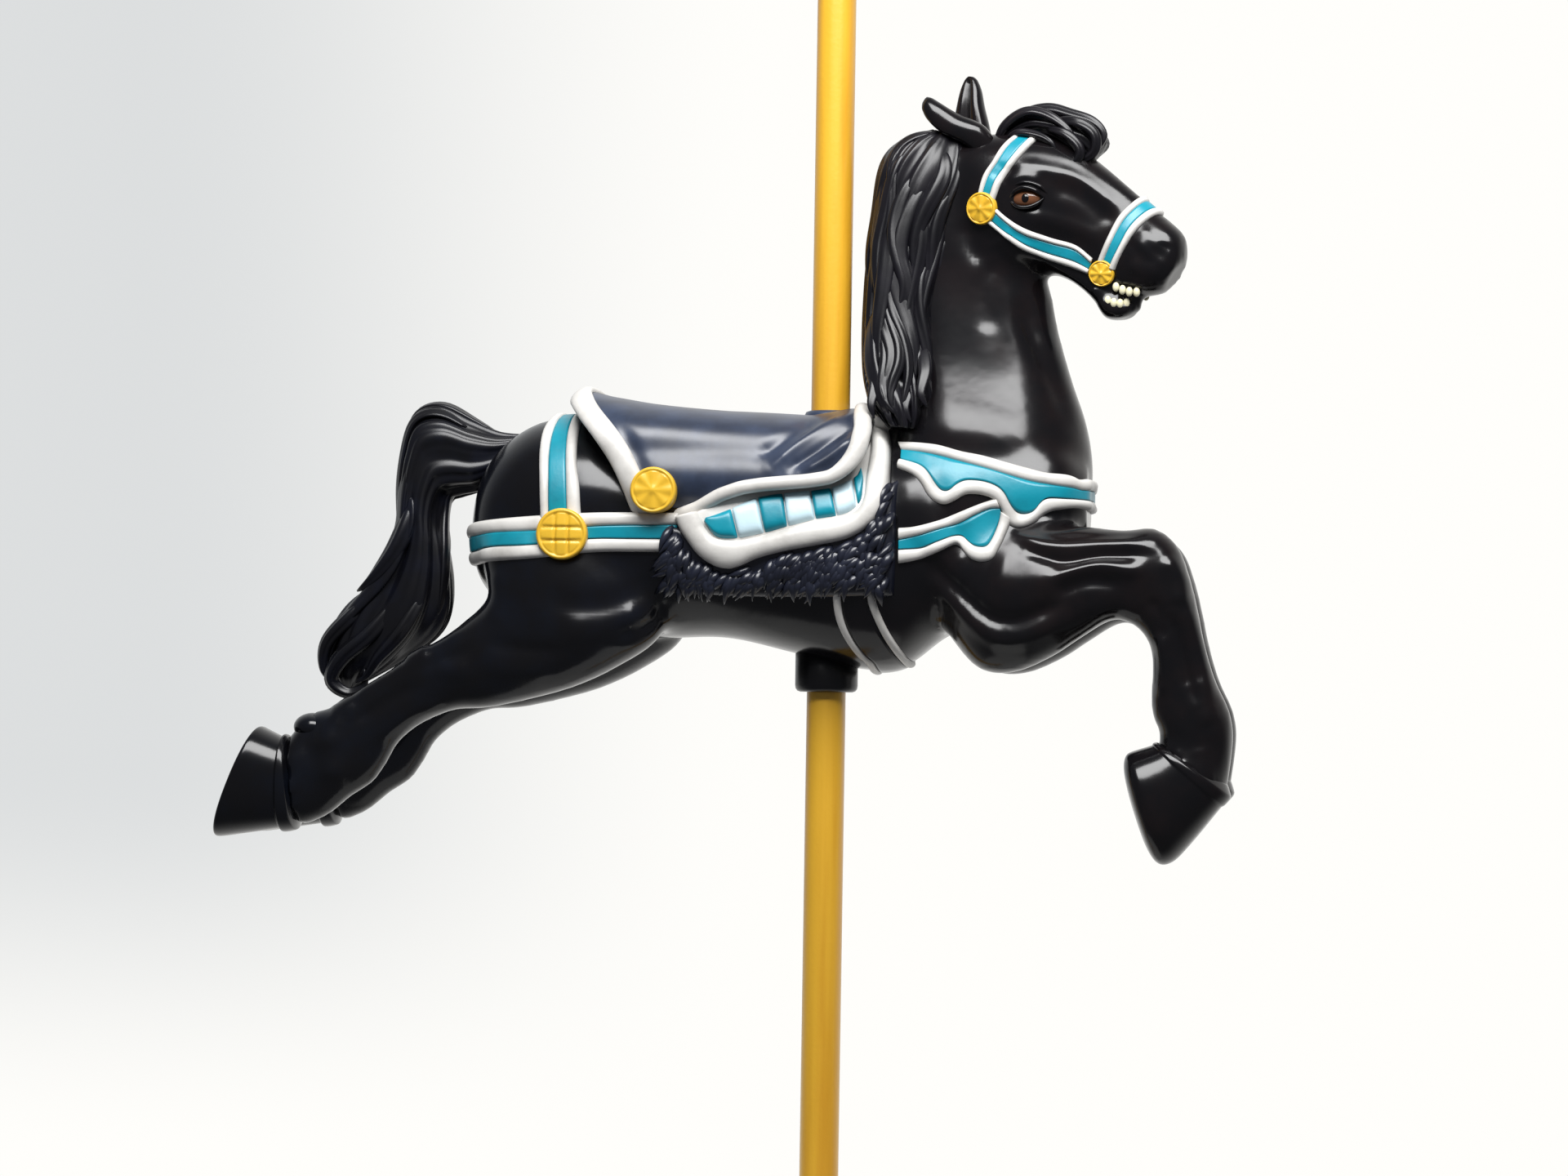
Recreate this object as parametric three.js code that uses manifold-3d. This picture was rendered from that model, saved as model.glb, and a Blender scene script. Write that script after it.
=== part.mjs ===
// Carousel horse: a moulded jumping horse on a round pole, held by a collar under its belly.
// Millimetres. +X is the way the horse faces, +Z runs up the pole, and the near side is -Y.
// The origin is the middle of the pole's lower end.
import * as THREE from "three";
import { mergeVertices } from "three/addons/utils/BufferGeometryUtils.js";
import Module from "manifold-3d";

const wasm = await Module();
wasm.setup();

// Driving dimensions
const poleRadius = 25.4;
const poleLength = 1829;
const poleSides = 32;
const fitGap = 0.3; // air left between touching pieces

const collarRadius = 41;
const collarFoot = 778; // height of the collar's lower face
const collarHead = 840; // cut back where it meets the belly
const collarRounding = 9;

const headTurn = THREE.MathUtils.degToRad(-12); // the head looks a little to the near side
const headPivot = [175, 0]; // where the head turns on the neck, in X and Y

const strapRise = 6; // how far the harness stands off the body
const furRise = 12;
const quiltRise = 17;
const quiltRim = 21;
const saddleTrimRise = 5;
const reach = 260; // half-width of a cutting outline, well past the horse's sides

// A row of a limb is one cut across it: one edge (x, z), the other edge (x, z), the sideways
// place y of its middle and its half-width. Rows run from the body outwards.
const torsoRows = [
  [-463, 1040, -470, 965, 0, 42],
  [-449, 1074, -456, 915, 0, 88],
  [-421, 1106, -420, 880, 0, 118],
  [-375, 1131, -370, 860, 0, 134],
  [-310, 1136, -300, 850, 0, 140],
  [-230, 1119, -215, 847, 0, 138],
  [-140, 1105, -130, 848, 0, 134],
  [-40, 1098, -40, 829, 0, 134],
  [50, 1104, 45, 810, 0, 132],
  [115, 1120, 102, 814, 0, 127],
  [180, 1135, 158, 854, 0, 122],
  [250, 1135, 224, 886, 0, 114],
  [310, 1115, 298, 926, 0, 98],
  [340, 1078, 340, 985, 0, 60],
];
const neckRows = [
  [62, 1050, 340, 1010, 0, 96],
  [62, 1118, 344, 1070, 0, 100],
  [62, 1165, 336, 1126, 0, 87],
  [61, 1215, 315, 1188, 0, 73],
  [60, 1270, 297, 1250, 0, 63],
  [62, 1325, 284, 1310, 0, 56],
  [68, 1385, 258, 1375, 0, 52],
  [82, 1435, 225, 1425, 0, 48],
  [106, 1475, 205, 1470, 0, 42],
  [140, 1500, 190, 1493, 0, 26],
];
const headRows = [
  [150, 1488, 160, 1425, 0, 30],
  [185, 1504, 178, 1388, 0, 48],
  [228, 1509, 201, 1350, 0, 56],
  [280, 1505, 241, 1330, 0, 58],
  [326, 1487, 279, 1326, 0, 51],
  [360, 1462, 308, 1320, 0, 41],
  [392, 1435, 332, 1310, 0, 35],
  [422, 1409, 360, 1303, 0, 34],
  [448, 1388, 386, 1301, 0, 38],
  [467, 1368, 416, 1293, 0, 36],
  [470, 1340, 440, 1296, 0, 27],
];
const lowerJawRows = [
  [300, 1360, 280, 1330, 0, 36],
  [336, 1326, 322, 1312, 0, 31],
  [368, 1306, 350, 1288, 0, 27],
  [386, 1297, 366, 1265, 0, 25],
  [402, 1288, 388, 1265, 0, 21],
  [414, 1283, 409, 1275, 0, 9],
];
const frontLegRows = [
  [140, 1050, 132, 905, -44, 48],
  [190, 1020, 170, 850, -64, 56],
  [242, 1002, 208, 812, -80, 58],
  [300, 997, 252, 808, -92, 56],
  [346, 994, 300, 828, -98, 50],
  [390, 990, 338, 853, -100, 44],
  [430, 992, 376, 876, -100, 41],
  [459, 969, 403, 871, -100, 39],
  [474, 930, 421, 853, -100, 37],
  [484, 893, 428, 833, -100, 34],
  [493, 848, 429, 808, -100, 31],
  [507, 803, 428, 782, -100, 31],
  [524, 768, 430, 756, -100, 35],
  [531, 738, 438, 738, -100, 37],
  [529, 700, 440, 727, -100, 36],
  [522, 654, 436, 718, -100, 44],
];
const frontHoof = { y: -100, coronet: [527, 650, 433, 722, 47], sole: [457, 568, 395, 706, 60] };
const hindLegRows = [
  [-400, 1060, -215, 960, -66, 62],
  [-441, 990, -192, 888, -78, 70],
  [-438, 935, -212, 842, -88, 68],
  [-428, 902, -260, 808, -95, 62],
  [-440, 882, -316, 781, -99, 55],
  [-460, 864, -374, 764, -102, 48],
  [-480, 846, -430, 752, -104, 42],
  [-503, 831, -470, 749, -105, 37],
  [-532, 818, -505, 736, -105, 35],
  [-556, 798, -528, 722, -105, 33],
  [-585, 780, -548, 703, -105, 31],
  [-612, 764, -562, 678, -105, 31],
  [-634, 749, -580, 653, -105, 33],
  [-658, 742, -608, 634, -105, 38],
  [-674, 728, -641, 608, -105, 37],
  [-690, 708, -676, 594, -105, 44],
];
const hindHoof = { y: -105, coronet: [-693, 708, -686, 591, 47], sole: [-730, 724, -785, 577, 60] };
const hoofRoot = 0.75; // of the coronet's width, where the hoof starts inside the leg
const soleDome = 0.16; // of the hoof's height
const soleFlat = 0.62; // of the sole's width, where the dome ends flat
const tailRows = [
  [-405, 1116, -425, 1070, 0, 20],
  [-440, 1119, -450, 1050, 0, 28],
  [-478, 1134, -469, 1037, 0, 36],
  [-520, 1152, -492, 1032, 0, 42],
  [-556, 1140, -507, 1026, 0, 44],
  [-570, 1095, -513, 1008, 0, 45],
  [-576, 1045, -512, 985, 0, 46],
  [-577, 995, -505, 955, 0, 48],
  [-592, 953, -498, 915, 0, 50],
  [-620, 910, -499, 876, 0, 52],
  [-654, 862, -518, 845, 0, 50],
  [-672, 815, -560, 815, 0, 42],
  [-668, 788, -602, 790, 0, 30],
  [-652, 770, -628, 776, 0, 12],
];
const maneRows = [
  [126, 1516, 188, 1492, 0, 34],
  [92, 1504, 196, 1442, 0, 52],
  [66, 1469, 190, 1402, 0, 60],
  [56, 1402, 172, 1366, 0, 62],
  [44, 1345, 156, 1318, 0, 66],
  [40, 1280, 148, 1265, 0, 72],
  [40, 1225, 147, 1215, 0, 84],
  [44, 1182, 148, 1172, 0, 98],
  [54, 1150, 142, 1140, 0, 108],
  [76, 1122, 130, 1118, 0, 108],
];
const forelockRows = [
  [212, 1500, 222, 1484, 0, 16],
  [232, 1526, 242, 1494, 0, 26],
  [264, 1541, 266, 1500, 0, 31],
  [296, 1535, 292, 1494, 0, 31],
  [324, 1525, 310, 1480, 0, 29],
  [352, 1518, 324, 1468, 0, 26],
  [366, 1500, 340, 1465, 0, 20],
  [360, 1484, 350, 1474, 0, 8],
];
const nearEarRows = [
  [218, 1472, 160, 1462, -26, 13],
  [198, 1500, 146, 1490, -30, 15],
  [166, 1524, 130, 1513, -34, 12],
  [127, 1548, 121, 1541, -37, 2],
];
const farEarRows = [
  [150, 1480, 206, 1480, 26, 14],
  [146, 1530, 200, 1520, 32, 15],
  [150, 1562, 182, 1552, 35, 11],
  [159, 1592, 164, 1590, 37, 2],
];
const saddleRows = [
  [-344, 1160, -318, 1000, 0, 112],
  [-322, 1171, -300, 985, 0, 140],
  [-290, 1165, -285, 980, 0, 152],
  [-230, 1157, -230, 975, 0, 155],
  [-127, 1147, -127, 975, 0, 151],
  [-20, 1140, -20, 975, 0, 150],
  [36, 1150, 36, 985, 0, 148],
  [62, 1140, 62, 1000, 0, 140],
];

// Solids
// Drops the triangles that a turned shape has shrunk to nothing on its axis.
function wholeTriangles(index) {
  const kept = [];
  for (let i = 0; i < index.length; i += 3) {
    const [a, b, c] = [index[i], index[i + 1], index[i + 2]];
    if (a !== b && b !== c && c !== a) kept.push(a, b, c);
  }
  return kept;
}

// Any closed mesh as a solid that can be joined and cut.
function toSolid(geometry) {
  const bare = geometry.clone();
  bare.deleteAttribute("normal");
  bare.deleteAttribute("uv");
  const welded = mergeVertices(bare, 1e-4);
  const vertProperties = Float32Array.from(welded.attributes.position.array);
  const triVerts = Uint32Array.from(wholeTriangles(welded.index.array));
  return new wasm.Manifold(new wasm.Mesh({ numProp: 3, vertProperties, triVerts }));
}

function toGeometry(solid) {
  const mesh = solid.getMesh();
  const geometry = new THREE.BufferGeometry();
  geometry.setAttribute("position", new THREE.BufferAttribute(Float32Array.from(mesh.vertProperties), 3));
  geometry.setIndex(new THREE.BufferAttribute(Uint32Array.from(mesh.triVerts), 1));
  const flat = geometry.toNonIndexed();
  flat.computeVertexNormals();
  return flat;
}

function joinAll(solids) {
  return solids.reduce((whole, piece) => whole.add(piece));
}

// One number of a table read smoothly between its rows (a Catmull-Rom curve).
function smooth(before, from, to, after, t) {
  const bend = 2 * before - 5 * from + 4 * to - after;
  const twist = 3 * from - before - 3 * to + after;
  return 0.5 * (2 * from + (to - before) * t + bend * t * t + twist * t * t * t);
}

function rowAt(rows, place) {
  const last = rows.length - 1;
  const i = Math.min(Math.floor(place), last - 1);
  const pick = (k) => rows[Math.max(0, Math.min(last, k))];
  return rows[i].map((_, n) => smooth(pick(i - 1)[n], pick(i)[n], pick(i + 1)[n], pick(i + 2)[n], place - i));
}

// A signed power, which squares an ellipse off into a fuller section.
function fuller(value, power) {
  return Math.sign(value) * Math.abs(value) ** power;
}

// How far a lock of hair lifts the skin: ridges run along the limb and wander with the place.
function lockSwell(ridges, angle, place) {
  if (!ridges) return 1;
  return 1 + ridges.depth * Math.cos(ridges.count * angle + ridges.wander * Math.sin(place));
}

// The ring round one cut.
function ringPoints(row, place, { sides, grow, square, ridges }) {
  const [ax, az, bx, bz, y, half] = row;
  const depth = Math.hypot(ax - bx, az - bz) / 2;
  const middle = [(ax + bx) / 2, (az + bz) / 2];
  const along = [(ax - bx) / 2 / depth, (az - bz) / 2 / depth];
  const points = [];
  for (let i = 0; i < sides; i += 1) {
    const angle = (2 * Math.PI * i) / sides;
    const lock = lockSwell(ridges, angle, place);
    const deep = fuller(Math.cos(angle), 2 / square) * (depth + grow) * lock;
    const wide = fuller(Math.sin(angle), 2 / square) * (half + grow) * lock;
    points.push(middle[0] + along[0] * deep, y + wide, middle[1] + along[1] * deep);
  }
  return points;
}

function middleOf(ring) {
  const sum = [0, 0, 0];
  ring.forEach((value, i) => { sum[i % 3] += value; });
  return sum.map((value) => (value * 3) / ring.length);
}

// Six times the volume inside the faces: negative where they look inwards.
function signedVolume(points, faces) {
  let total = 0;
  for (let i = 0; i < faces.length; i += 3) {
    const [a, b, c] = [0, 1, 2].map((k) => new THREE.Vector3().fromArray(points, faces[i + k] * 3));
    total += a.dot(b.cross(c));
  }
  return total;
}

// A closed skin over a stack of rings, with a fan at each end.
function skin(rings, sides) {
  const points = rings.flat();
  const faces = [];
  const count = rings.length;
  for (let r = 0; r < count - 1; r += 1) {
    for (let i = 0; i < sides; i += 1) {
      const a = r * sides + i;
      const b = r * sides + ((i + 1) % sides);
      faces.push(a, b, b + sides, a, b + sides, a + sides);
    }
  }
  const startHub = count * sides;
  points.push(...middleOf(rings[0]), ...middleOf(rings[count - 1]));
  for (let i = 0; i < sides; i += 1) {
    const next = (i + 1) % sides;
    faces.push(startHub, next, i);
    faces.push(startHub + 1, (count - 1) * sides + i, (count - 1) * sides + next);
  }
  if (signedVolume(points, faces) < 0) faces.reverse();
  const geometry = new THREE.BufferGeometry();
  geometry.setAttribute("position", new THREE.Float32BufferAttribute(points, 3));
  geometry.setIndex(faces);
  return toSolid(geometry);
}

// A limb through its table of cuts. stepsPerRow sets how finely it is read between two rows.
function limb(rows, options = {}) {
  const shape = { sides: 16, stepsPerRow: 1, grow: 0, square: 2, ridges: null, ...options };
  const rings = [];
  const steps = (rows.length - 1) * shape.stepsPerRow;
  for (let s = 0; s <= steps; s += 1) {
    const place = s / shape.stepsPerRow;
    rings.push(ringPoints(rowAt(rows, Math.min(place, rows.length - 1)), place, shape));
  }
  return skin(rings, shape.sides);
}

function mirrored(solid) {
  return solid.mirror([0, 1, 0]);
}

// An outline in the side view (x, z pairs) pushed through the horse from side to side.
function sideCut(outline, nearY = -reach, farY = reach) {
  const shape = new THREE.Shape(outline.map(([x, z]) => new THREE.Vector2(x, z)));
  const slab = new THREE.ExtrudeGeometry(shape, { depth: farY - nearY, bevelEnabled: false });
  slab.rotateX(Math.PI / 2); // the outline stands up, the thickness runs to -Y
  slab.translate(0, farY, 0);
  return toSolid(slab);
}

function uprightRod(radius, foot, head, sides) {
  const rod = new THREE.CylinderGeometry(radius, radius, head - foot, sides);
  rod.rotateX(Math.PI / 2);
  rod.translate(0, 0, (foot + head) / 2);
  return toSolid(rod);
}

function turnHead(solid) {
  const [x, y] = headPivot;
  const degrees = THREE.MathUtils.radToDeg(headTurn);
  return solid.translate([-x, -y, 0]).rotate([0, 0, degrees]).translate([x, y, 0]);
}

// Outlines of the trappings (x, z)
const saddleOutline = [
  [-352, 1200], [-330, 1140], [-280, 1076], [-246, 1018], [-236, 992], [-205, 988], [-171, 1000],
  [-103, 1028], [-2, 1049], [28, 1066], [46, 1090], [60, 1122], [72, 1200],
];
const cantleTrim = { width: 26, line: [[-342, 1185], [-310, 1138], [-262, 1086], [-226, 1000]] };
const railTrim = {
  width: 17,
  line: [[-226, 998], [-171, 1006], [-103, 1034], [-2, 1054], [38, 1088], [62, 1180]],
};
const flapOutline = [
  [-215, 1040], [-180, 985], [-157, 955], [-130, 941], [-100, 938], [1, 963],
  [50, 978], [78, 1003], [90, 1039], [86, 1089], [78, 1130], [40, 1160], [-180, 1100],
];
const quiltField = [
  [-150, 990], [-98, 1016], [0, 1036], [46, 1050], [66, 1078], [64, 1044], [50, 1014],
  [27, 998], [-66, 980], [-111, 970], [-134, 976],
];
const furOutline = {
  back: [[-205, 1080], [-206, 992], [-190, 935]],
  hem: { start: -178, end: 112, height: 894 },
  front: [[118, 940], [114, 1037], [98, 1110], [60, 1150]],
};
const furTuft = { pitch: 29, drop: 7 };
const breeching = { width: 40, line: [[-520, 964], [-320, 975], [-190, 986]] };
const crupper = { width: 43, line: [[-338, 1170], [-336, 1100], [-330, 985]] };
const breastStrap = {
  width: 36,
  line: [[104, 1084], [156, 1079], [212, 1066], [286, 1046], [372, 1040]],
  lobes: [[163, 1046, 25], [259, 1022, 29]],
};
const shoulderStrap = {
  width: 44,
  line: [[104, 968], [150, 982], [196, 1000], [236, 1024]],
  lobes: [[209, 970, 25]],
};
const girthOutline = [
  [24, 915], [27, 881], [36, 853], [52, 830], [56, 780], [125, 780], [106, 814], [86, 862],
  [74, 894], [74, 915],
];
const cheekStrap = { width: 25, line: [[262, 1540], [250, 1488], [222, 1448], [212, 1400]] };
const jawStrap = { width: 24, line: [[212, 1404], [254, 1366], [307, 1348], [372, 1325]] };
const noseStrap = { width: 27, line: [[376, 1318], [392, 1352], [410, 1382], [436, 1412]] };
const chinCut = [[388, 1307], [418, 1298], [462, 1291], [462, 1283], [412, 1287]];

// Round badges: place (x, z), radius, and how far out from the horse's middle their face stands.
const saddleBadge = { x: -211, z: 1033, radius: 29, face: 165 };
const hipBadge = { x: -330, z: 976, radius: 33, face: 158 };
const cheekBadge = { x: 210, z: 1406, radius: 20, face: 62 };
const mouthBadge = { x: 372, z: 1321, radius: 15, face: 45 };
const badgeDome = 5;
const badgeSides = 12;

const lobeSides = 12;

const eye = { x: 275, y: 50, z: 1419, size: [18, 9, 10] };
const nostril = { x: 446, y: 38, z: 1360, size: [13, 8, 10] };

// A strap's outline: its middle line drawn as a smooth curve and given width.
function strapOutline({ line, width }) {
  const curve = new THREE.SplineCurve(line.map(([x, z]) => new THREE.Vector2(x, z)));
  const spans = 2 * (line.length - 1);
  const left = [];
  const right = [];
  for (let i = 0; i <= spans; i += 1) {
    const p = curve.getPoint(i / spans);
    const t = curve.getTangent(i / spans);
    left.push([p.x - (t.y * width) / 2, p.y + (t.x * width) / 2]);
    right.unshift([p.x + (t.y * width) / 2, p.y - (t.x * width) / 2]);
  }
  return [...left, ...right];
}

function strapCut(strap) {
  const lobes = (strap.lobes ?? []).map(([x, z, radius]) => sideCut(lobeOutline(x, z, radius)));
  return joinAll([sideCut(strapOutline(strap)), ...lobes]);
}

function lobeOutline(x, z, radius) {
  return Array.from({ length: lobeSides }, (_, i) => {
    const angle = (2 * Math.PI * i) / lobeSides;
    return [x + radius * Math.cos(angle), z + radius * Math.sin(angle)];
  });
}

// The blanket's lower edge hangs in tufts, coarser on the plainer far side.
function furCut() {
  return furSide(furTuft.pitch, -reach, 0).add(furSide(furTuft.pitch * 2, 0, reach));
}

function furSide(pitch, nearY, farY) {
  const { start, end, height } = furOutline.hem;
  const tufts = Math.round((end - start) / pitch);
  const hem = [];
  for (let i = 0; i <= 2 * tufts; i += 1) {
    hem.push([start + ((end - start) * i) / (2 * tufts), height + (i % 2 ? -furTuft.drop : furTuft.drop)]);
  }
  return sideCut([...furOutline.back, ...hem, ...furOutline.front], nearY, farY);
}

// A turned badge with a low dome, its face looking out to one side.
function badge({ x, z, radius, face }, side) {
  const seat = -40; // sunk into the body behind it
  const profile = [[0, seat], [radius, seat], [radius, -badgeDome], [0, 0]];
  const turned = new THREE.LatheGeometry(profile.map(([r, h]) => new THREE.Vector2(r, h)), badgeSides);
  if (side < 0) turned.rotateX(Math.PI);
  turned.translate(x, side * face, z);
  return toSolid(turned);
}

function bead({ x, y, z, size }, side) {
  const ball = new THREE.SphereGeometry(1, 8, 6);
  ball.scale(...size);
  ball.translate(x, side * y, z);
  return toSolid(ball);
}

function onBothSides(make) {
  return make(-1).add(make(1));
}

// The horse's parts
const tailLocks = { count: 4, depth: 0.1, wander: 1.4 };
const maneLocks = { count: 6, depth: 0.09, wander: 1.2 };
const forelockLocks = { count: 3, depth: 0.1, wander: 1.5 };

const legShape = { sides: 12, square: 2.15 };
const torsoShape = { sides: 18, square: 2.2 };

function bodyAndNeck(grow = 0) {
  return limb(torsoRows, { ...torsoShape, grow }).add(limb(neckRows, { sides: 16, square: 2.1, grow }));
}

// The body with the tops of its legs, swollen by grow: what the trappings lie on.
function trunk(grow) {
  const upperRows = 5; // of a leg, as far down as the trappings reach
  const top = (rows) => limb(rows.slice(0, upperRows), { ...legShape, grow });
  const tops = [top(frontLegRows), top(hindLegRows)];
  return joinAll([bodyAndNeck(grow), ...tops, ...tops.map(mirrored)]);
}

// A row drawn in towards its own middle.
function narrowed([ax, az, bx, bz, y, half], part) {
  const [x, z] = [(ax + bx) / 2, (az + bz) / 2];
  return [x + (ax - x) * part, z + (az - z) * part, x + (bx - x) * part, z + (bz - z) * part, y, half * part];
}

// A hoof widens from the coronet to the sole, which is slightly domed. It starts inside the leg.
function hoof({ coronet, sole, y }) {
  const mix = (t, swell = 0) => {
    const row = coronet.map((value, i) => value + (sole[i] - value) * t);
    return [row[0], row[1], row[2], row[3], y, row[4] + swell];
  };
  const root = narrowed(mix(-0.15), hoofRoot);
  const ground = narrowed(mix(1 + soleDome), soleFlat);
  return limb([root, mix(0), mix(0.08, 3), mix(1), ground], { sides: 12, square: 2.3 });
}

function leg(rows, hoofShape) {
  return limb(rows, legShape).add(hoof(hoofShape));
}

function ear(rows) {
  return limb(rows, { sides: 8 });
}

const faceShape = { sides: 16, square: 2.2 };
const jawShape = { sides: 10 };

function mouthAndEyes(face) {
  const shaped = face.subtract(sideCut(chinCut)).add(onBothSides((side) => bead(eye, side)));
  return shaped.subtract(onBothSides((side) => bead(nostril, side)));
}

function bridle() {
  const grow = strapRise;
  const raised = limb(headRows, { ...faceShape, grow }).add(limb(lowerJawRows, { ...jawShape, grow }));
  const straps = joinAll([cheekStrap, jawStrap, noseStrap].map(strapCut));
  const badges = [cheekBadge, mouthBadge].map((one) => onBothSides((side) => badge(one, side)));
  return joinAll([raised.intersect(straps), ...badges]);
}

function head() {
  const skull = limb(headRows, faceShape).add(limb(lowerJawRows, jawShape));
  const forelock = limb(forelockRows, { sides: 12, ridges: forelockLocks });
  const ears = ear(nearEarRows).add(ear(farEarRows));
  return turnHead(joinAll([mouthAndEyes(skull), forelock, ears, bridle()]));
}

function hair() {
  const mane = limb(maneRows, { sides: 24, square: 2.8, ridges: maneLocks });
  const tail = limb(tailRows, { sides: 16, ridges: tailLocks });
  return mane.add(tail);
}

function saddle() {
  const shape = { sides: 18, square: 2.4 };
  const seat = limb(saddleRows, shape).intersect(sideCut(saddleOutline));
  const raised = limb(saddleRows, { ...shape, grow: saddleTrimRise });
  const trim = raised.intersect(sideCut(strapOutline(cantleTrim)).add(sideCut(strapOutline(railTrim))));
  return seat.add(trim);
}

function blanketAndFlap() {
  const fur = trunk(furRise).intersect(furCut());
  const quilt = trunk(quiltRise).intersect(sideCut(flapOutline));
  const nearRim = sideCut(flapOutline, -reach, 0).subtract(sideCut(quiltField));
  return joinAll([fur, quilt, trunk(quiltRim).intersect(nearRim)]);
}

function harness() {
  const cuts = [...[breeching, crupper, breastStrap, shoulderStrap].map(strapCut), sideCut(girthOutline)];
  const straps = trunk(strapRise).intersect(joinAll(cuts));
  return joinAll([straps, ...[saddleBadge, hipBadge].map((one) => onBothSides((side) => badge(one, side)))]);
}

function horse() {
  const near = leg(frontLegRows, frontHoof).add(leg(hindLegRows, hindHoof));
  const animal = joinAll([bodyAndNeck(), near, mirrored(near), head(), hair()]);
  const dressed = joinAll([animal, blanketAndFlap(), saddle(), harness()]);
  return dressed.subtract(uprightRod(poleRadius + fitGap, -1, poleLength + 1, poleSides));
}

function poleCollar() {
  const [low, shoulder] = [collarFoot, collarFoot + collarRounding];
  const profile = [
    [0, low], [collarRadius - collarRounding, low], [collarRadius, shoulder],
    [collarRadius, collarHead], [0, collarHead],
  ];
  const turned = new THREE.LatheGeometry(profile.map(([r, h]) => new THREE.Vector2(r, h)), poleSides);
  turned.rotateX(Math.PI / 2);
  const belly = limb(torsoRows, { ...torsoShape, grow: fitGap });
  return toSolid(turned).subtract(belly).subtract(uprightRod(poleRadius + fitGap, 0, poleLength, poleSides));
}

// The finished group
const finishes = {
  horse: { color: 0x0b0b0e, roughness: 0.16, metalness: 0.0 },
  pole: { color: 0xd9a11c, roughness: 0.35, metalness: 0.0 },
  pole_collar: { color: 0x0d0d10, roughness: 0.3, metalness: 0.0 },
};

const group = new THREE.Group();
group.name = "carousel_horse";

function place(name, solid) {
  const mesh = new THREE.Mesh(toGeometry(solid), new THREE.MeshStandardMaterial(finishes[name]));
  mesh.name = name;
  group.add(mesh);
}

place("horse", horse());
place("pole", uprightRod(poleRadius, 0, poleLength, poleSides));
place("pole_collar", poleCollar());

export default group;
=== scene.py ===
# Carousel horse on its pole. Shapes are worked out in millimetres and put into the meshes in metres.
# +X is the way the horse faces, +Z runs up the pole, and the near side is -Y.
import math
import bmesh
import bpy
import numpy as np
from mathutils import Matrix, Vector
from mathutils.bvhtree import BVHTree


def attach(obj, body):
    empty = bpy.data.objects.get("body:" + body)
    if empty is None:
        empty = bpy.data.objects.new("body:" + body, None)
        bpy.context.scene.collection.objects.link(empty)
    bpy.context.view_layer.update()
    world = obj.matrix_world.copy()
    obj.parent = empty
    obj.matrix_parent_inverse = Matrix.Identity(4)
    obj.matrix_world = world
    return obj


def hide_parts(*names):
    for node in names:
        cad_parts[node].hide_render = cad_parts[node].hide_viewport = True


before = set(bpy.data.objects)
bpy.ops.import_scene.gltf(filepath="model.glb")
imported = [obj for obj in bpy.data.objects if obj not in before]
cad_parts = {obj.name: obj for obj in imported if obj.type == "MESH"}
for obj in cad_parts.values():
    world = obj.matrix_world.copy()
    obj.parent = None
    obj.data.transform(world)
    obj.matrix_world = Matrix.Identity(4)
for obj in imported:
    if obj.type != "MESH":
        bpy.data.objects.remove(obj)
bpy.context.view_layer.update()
mm = 0.001
headPose = {"turn": math.radians(-12), "pivot": (175.0, 0.0)}


# Shapes, as whole arrays of points
def readRows(rows, count):
    # Catmull-Rom: each column is a smooth curve through its numbers, read at count even places.
    rows = np.asarray(rows, float)
    place = np.linspace(0, len(rows) - 1, count)
    i = np.minimum(place.astype(int), len(rows) - 2)
    t = (place - i)[:, None]
    last = len(rows) - 1
    a, b, c, d = (rows[np.clip(i + k, 0, last)] for k in (-1, 0, 1, 2))
    square, cube = 2 * a - 5 * b + 4 * c - d, 3 * b - a - 3 * c + d
    return 0.5 * (2 * b + (c - a) * t + square * t ** 2 + cube * t ** 3)


def fuller(value, square):
    return np.sign(value) * np.abs(value) ** (2 / square)  # squares an ellipse off


def limbGrid(rows, count, sides, square=2.15, grow=0.0, swell=None):
    # Rings round each cut: middle + along * cos(a) * depth + y * sin(a) * halfWidth, times swell(a, place).
    cut = readRows(rows, count)
    a, b = cut[:, [0, 1]], cut[:, [2, 3]]
    middle, half = (a + b) / 2, (a - b) / 2
    depth = np.linalg.norm(half, axis=1, keepdims=True)
    along = half / depth
    angle = np.linspace(0, 2 * np.pi, sides, endpoint=False)
    lift = 1.0 if swell is None else swell(angle[None, :], np.linspace(0, 1, count)[:, None])
    deep = fuller(np.cos(angle), square) * (depth + grow) * lift
    wide = fuller(np.sin(angle), square) * (cut[:, 5:6] + grow) * lift
    points = np.empty((count, sides, 3))
    points[..., 0] = middle[:, :1] + along[:, :1] * deep
    points[..., 1] = cut[:, 4:5] + wide
    points[..., 2] = middle[:, 1:] + along[:, 1:] * deep
    return points


def closedTube(grid):
    # Quads over a stack of rings, and a fan of triangles to a hub at each end.
    count, sides = grid.shape[:2]
    r, i = np.meshgrid(np.arange(count - 1) * sides, np.arange(sides), indexing="ij")
    j = (i + 1) % sides
    quads = np.stack([r + i, r + j, r + sides + j, r + sides + i], -1).reshape(-1, 4)
    points = np.vstack([grid.reshape(-1, 3), grid[0].mean(0), grid[-1].mean(0)])
    k = np.arange(sides)
    n = (k + 1) % sides
    hub, top = count * sides, (count - 1) * sides
    low = np.stack([np.full(sides, hub), n, k], -1)
    high = np.stack([np.full(sides, hub + 1), top + k, top + n], -1)
    return outward(points, quads, np.vstack([low, high]))


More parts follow.
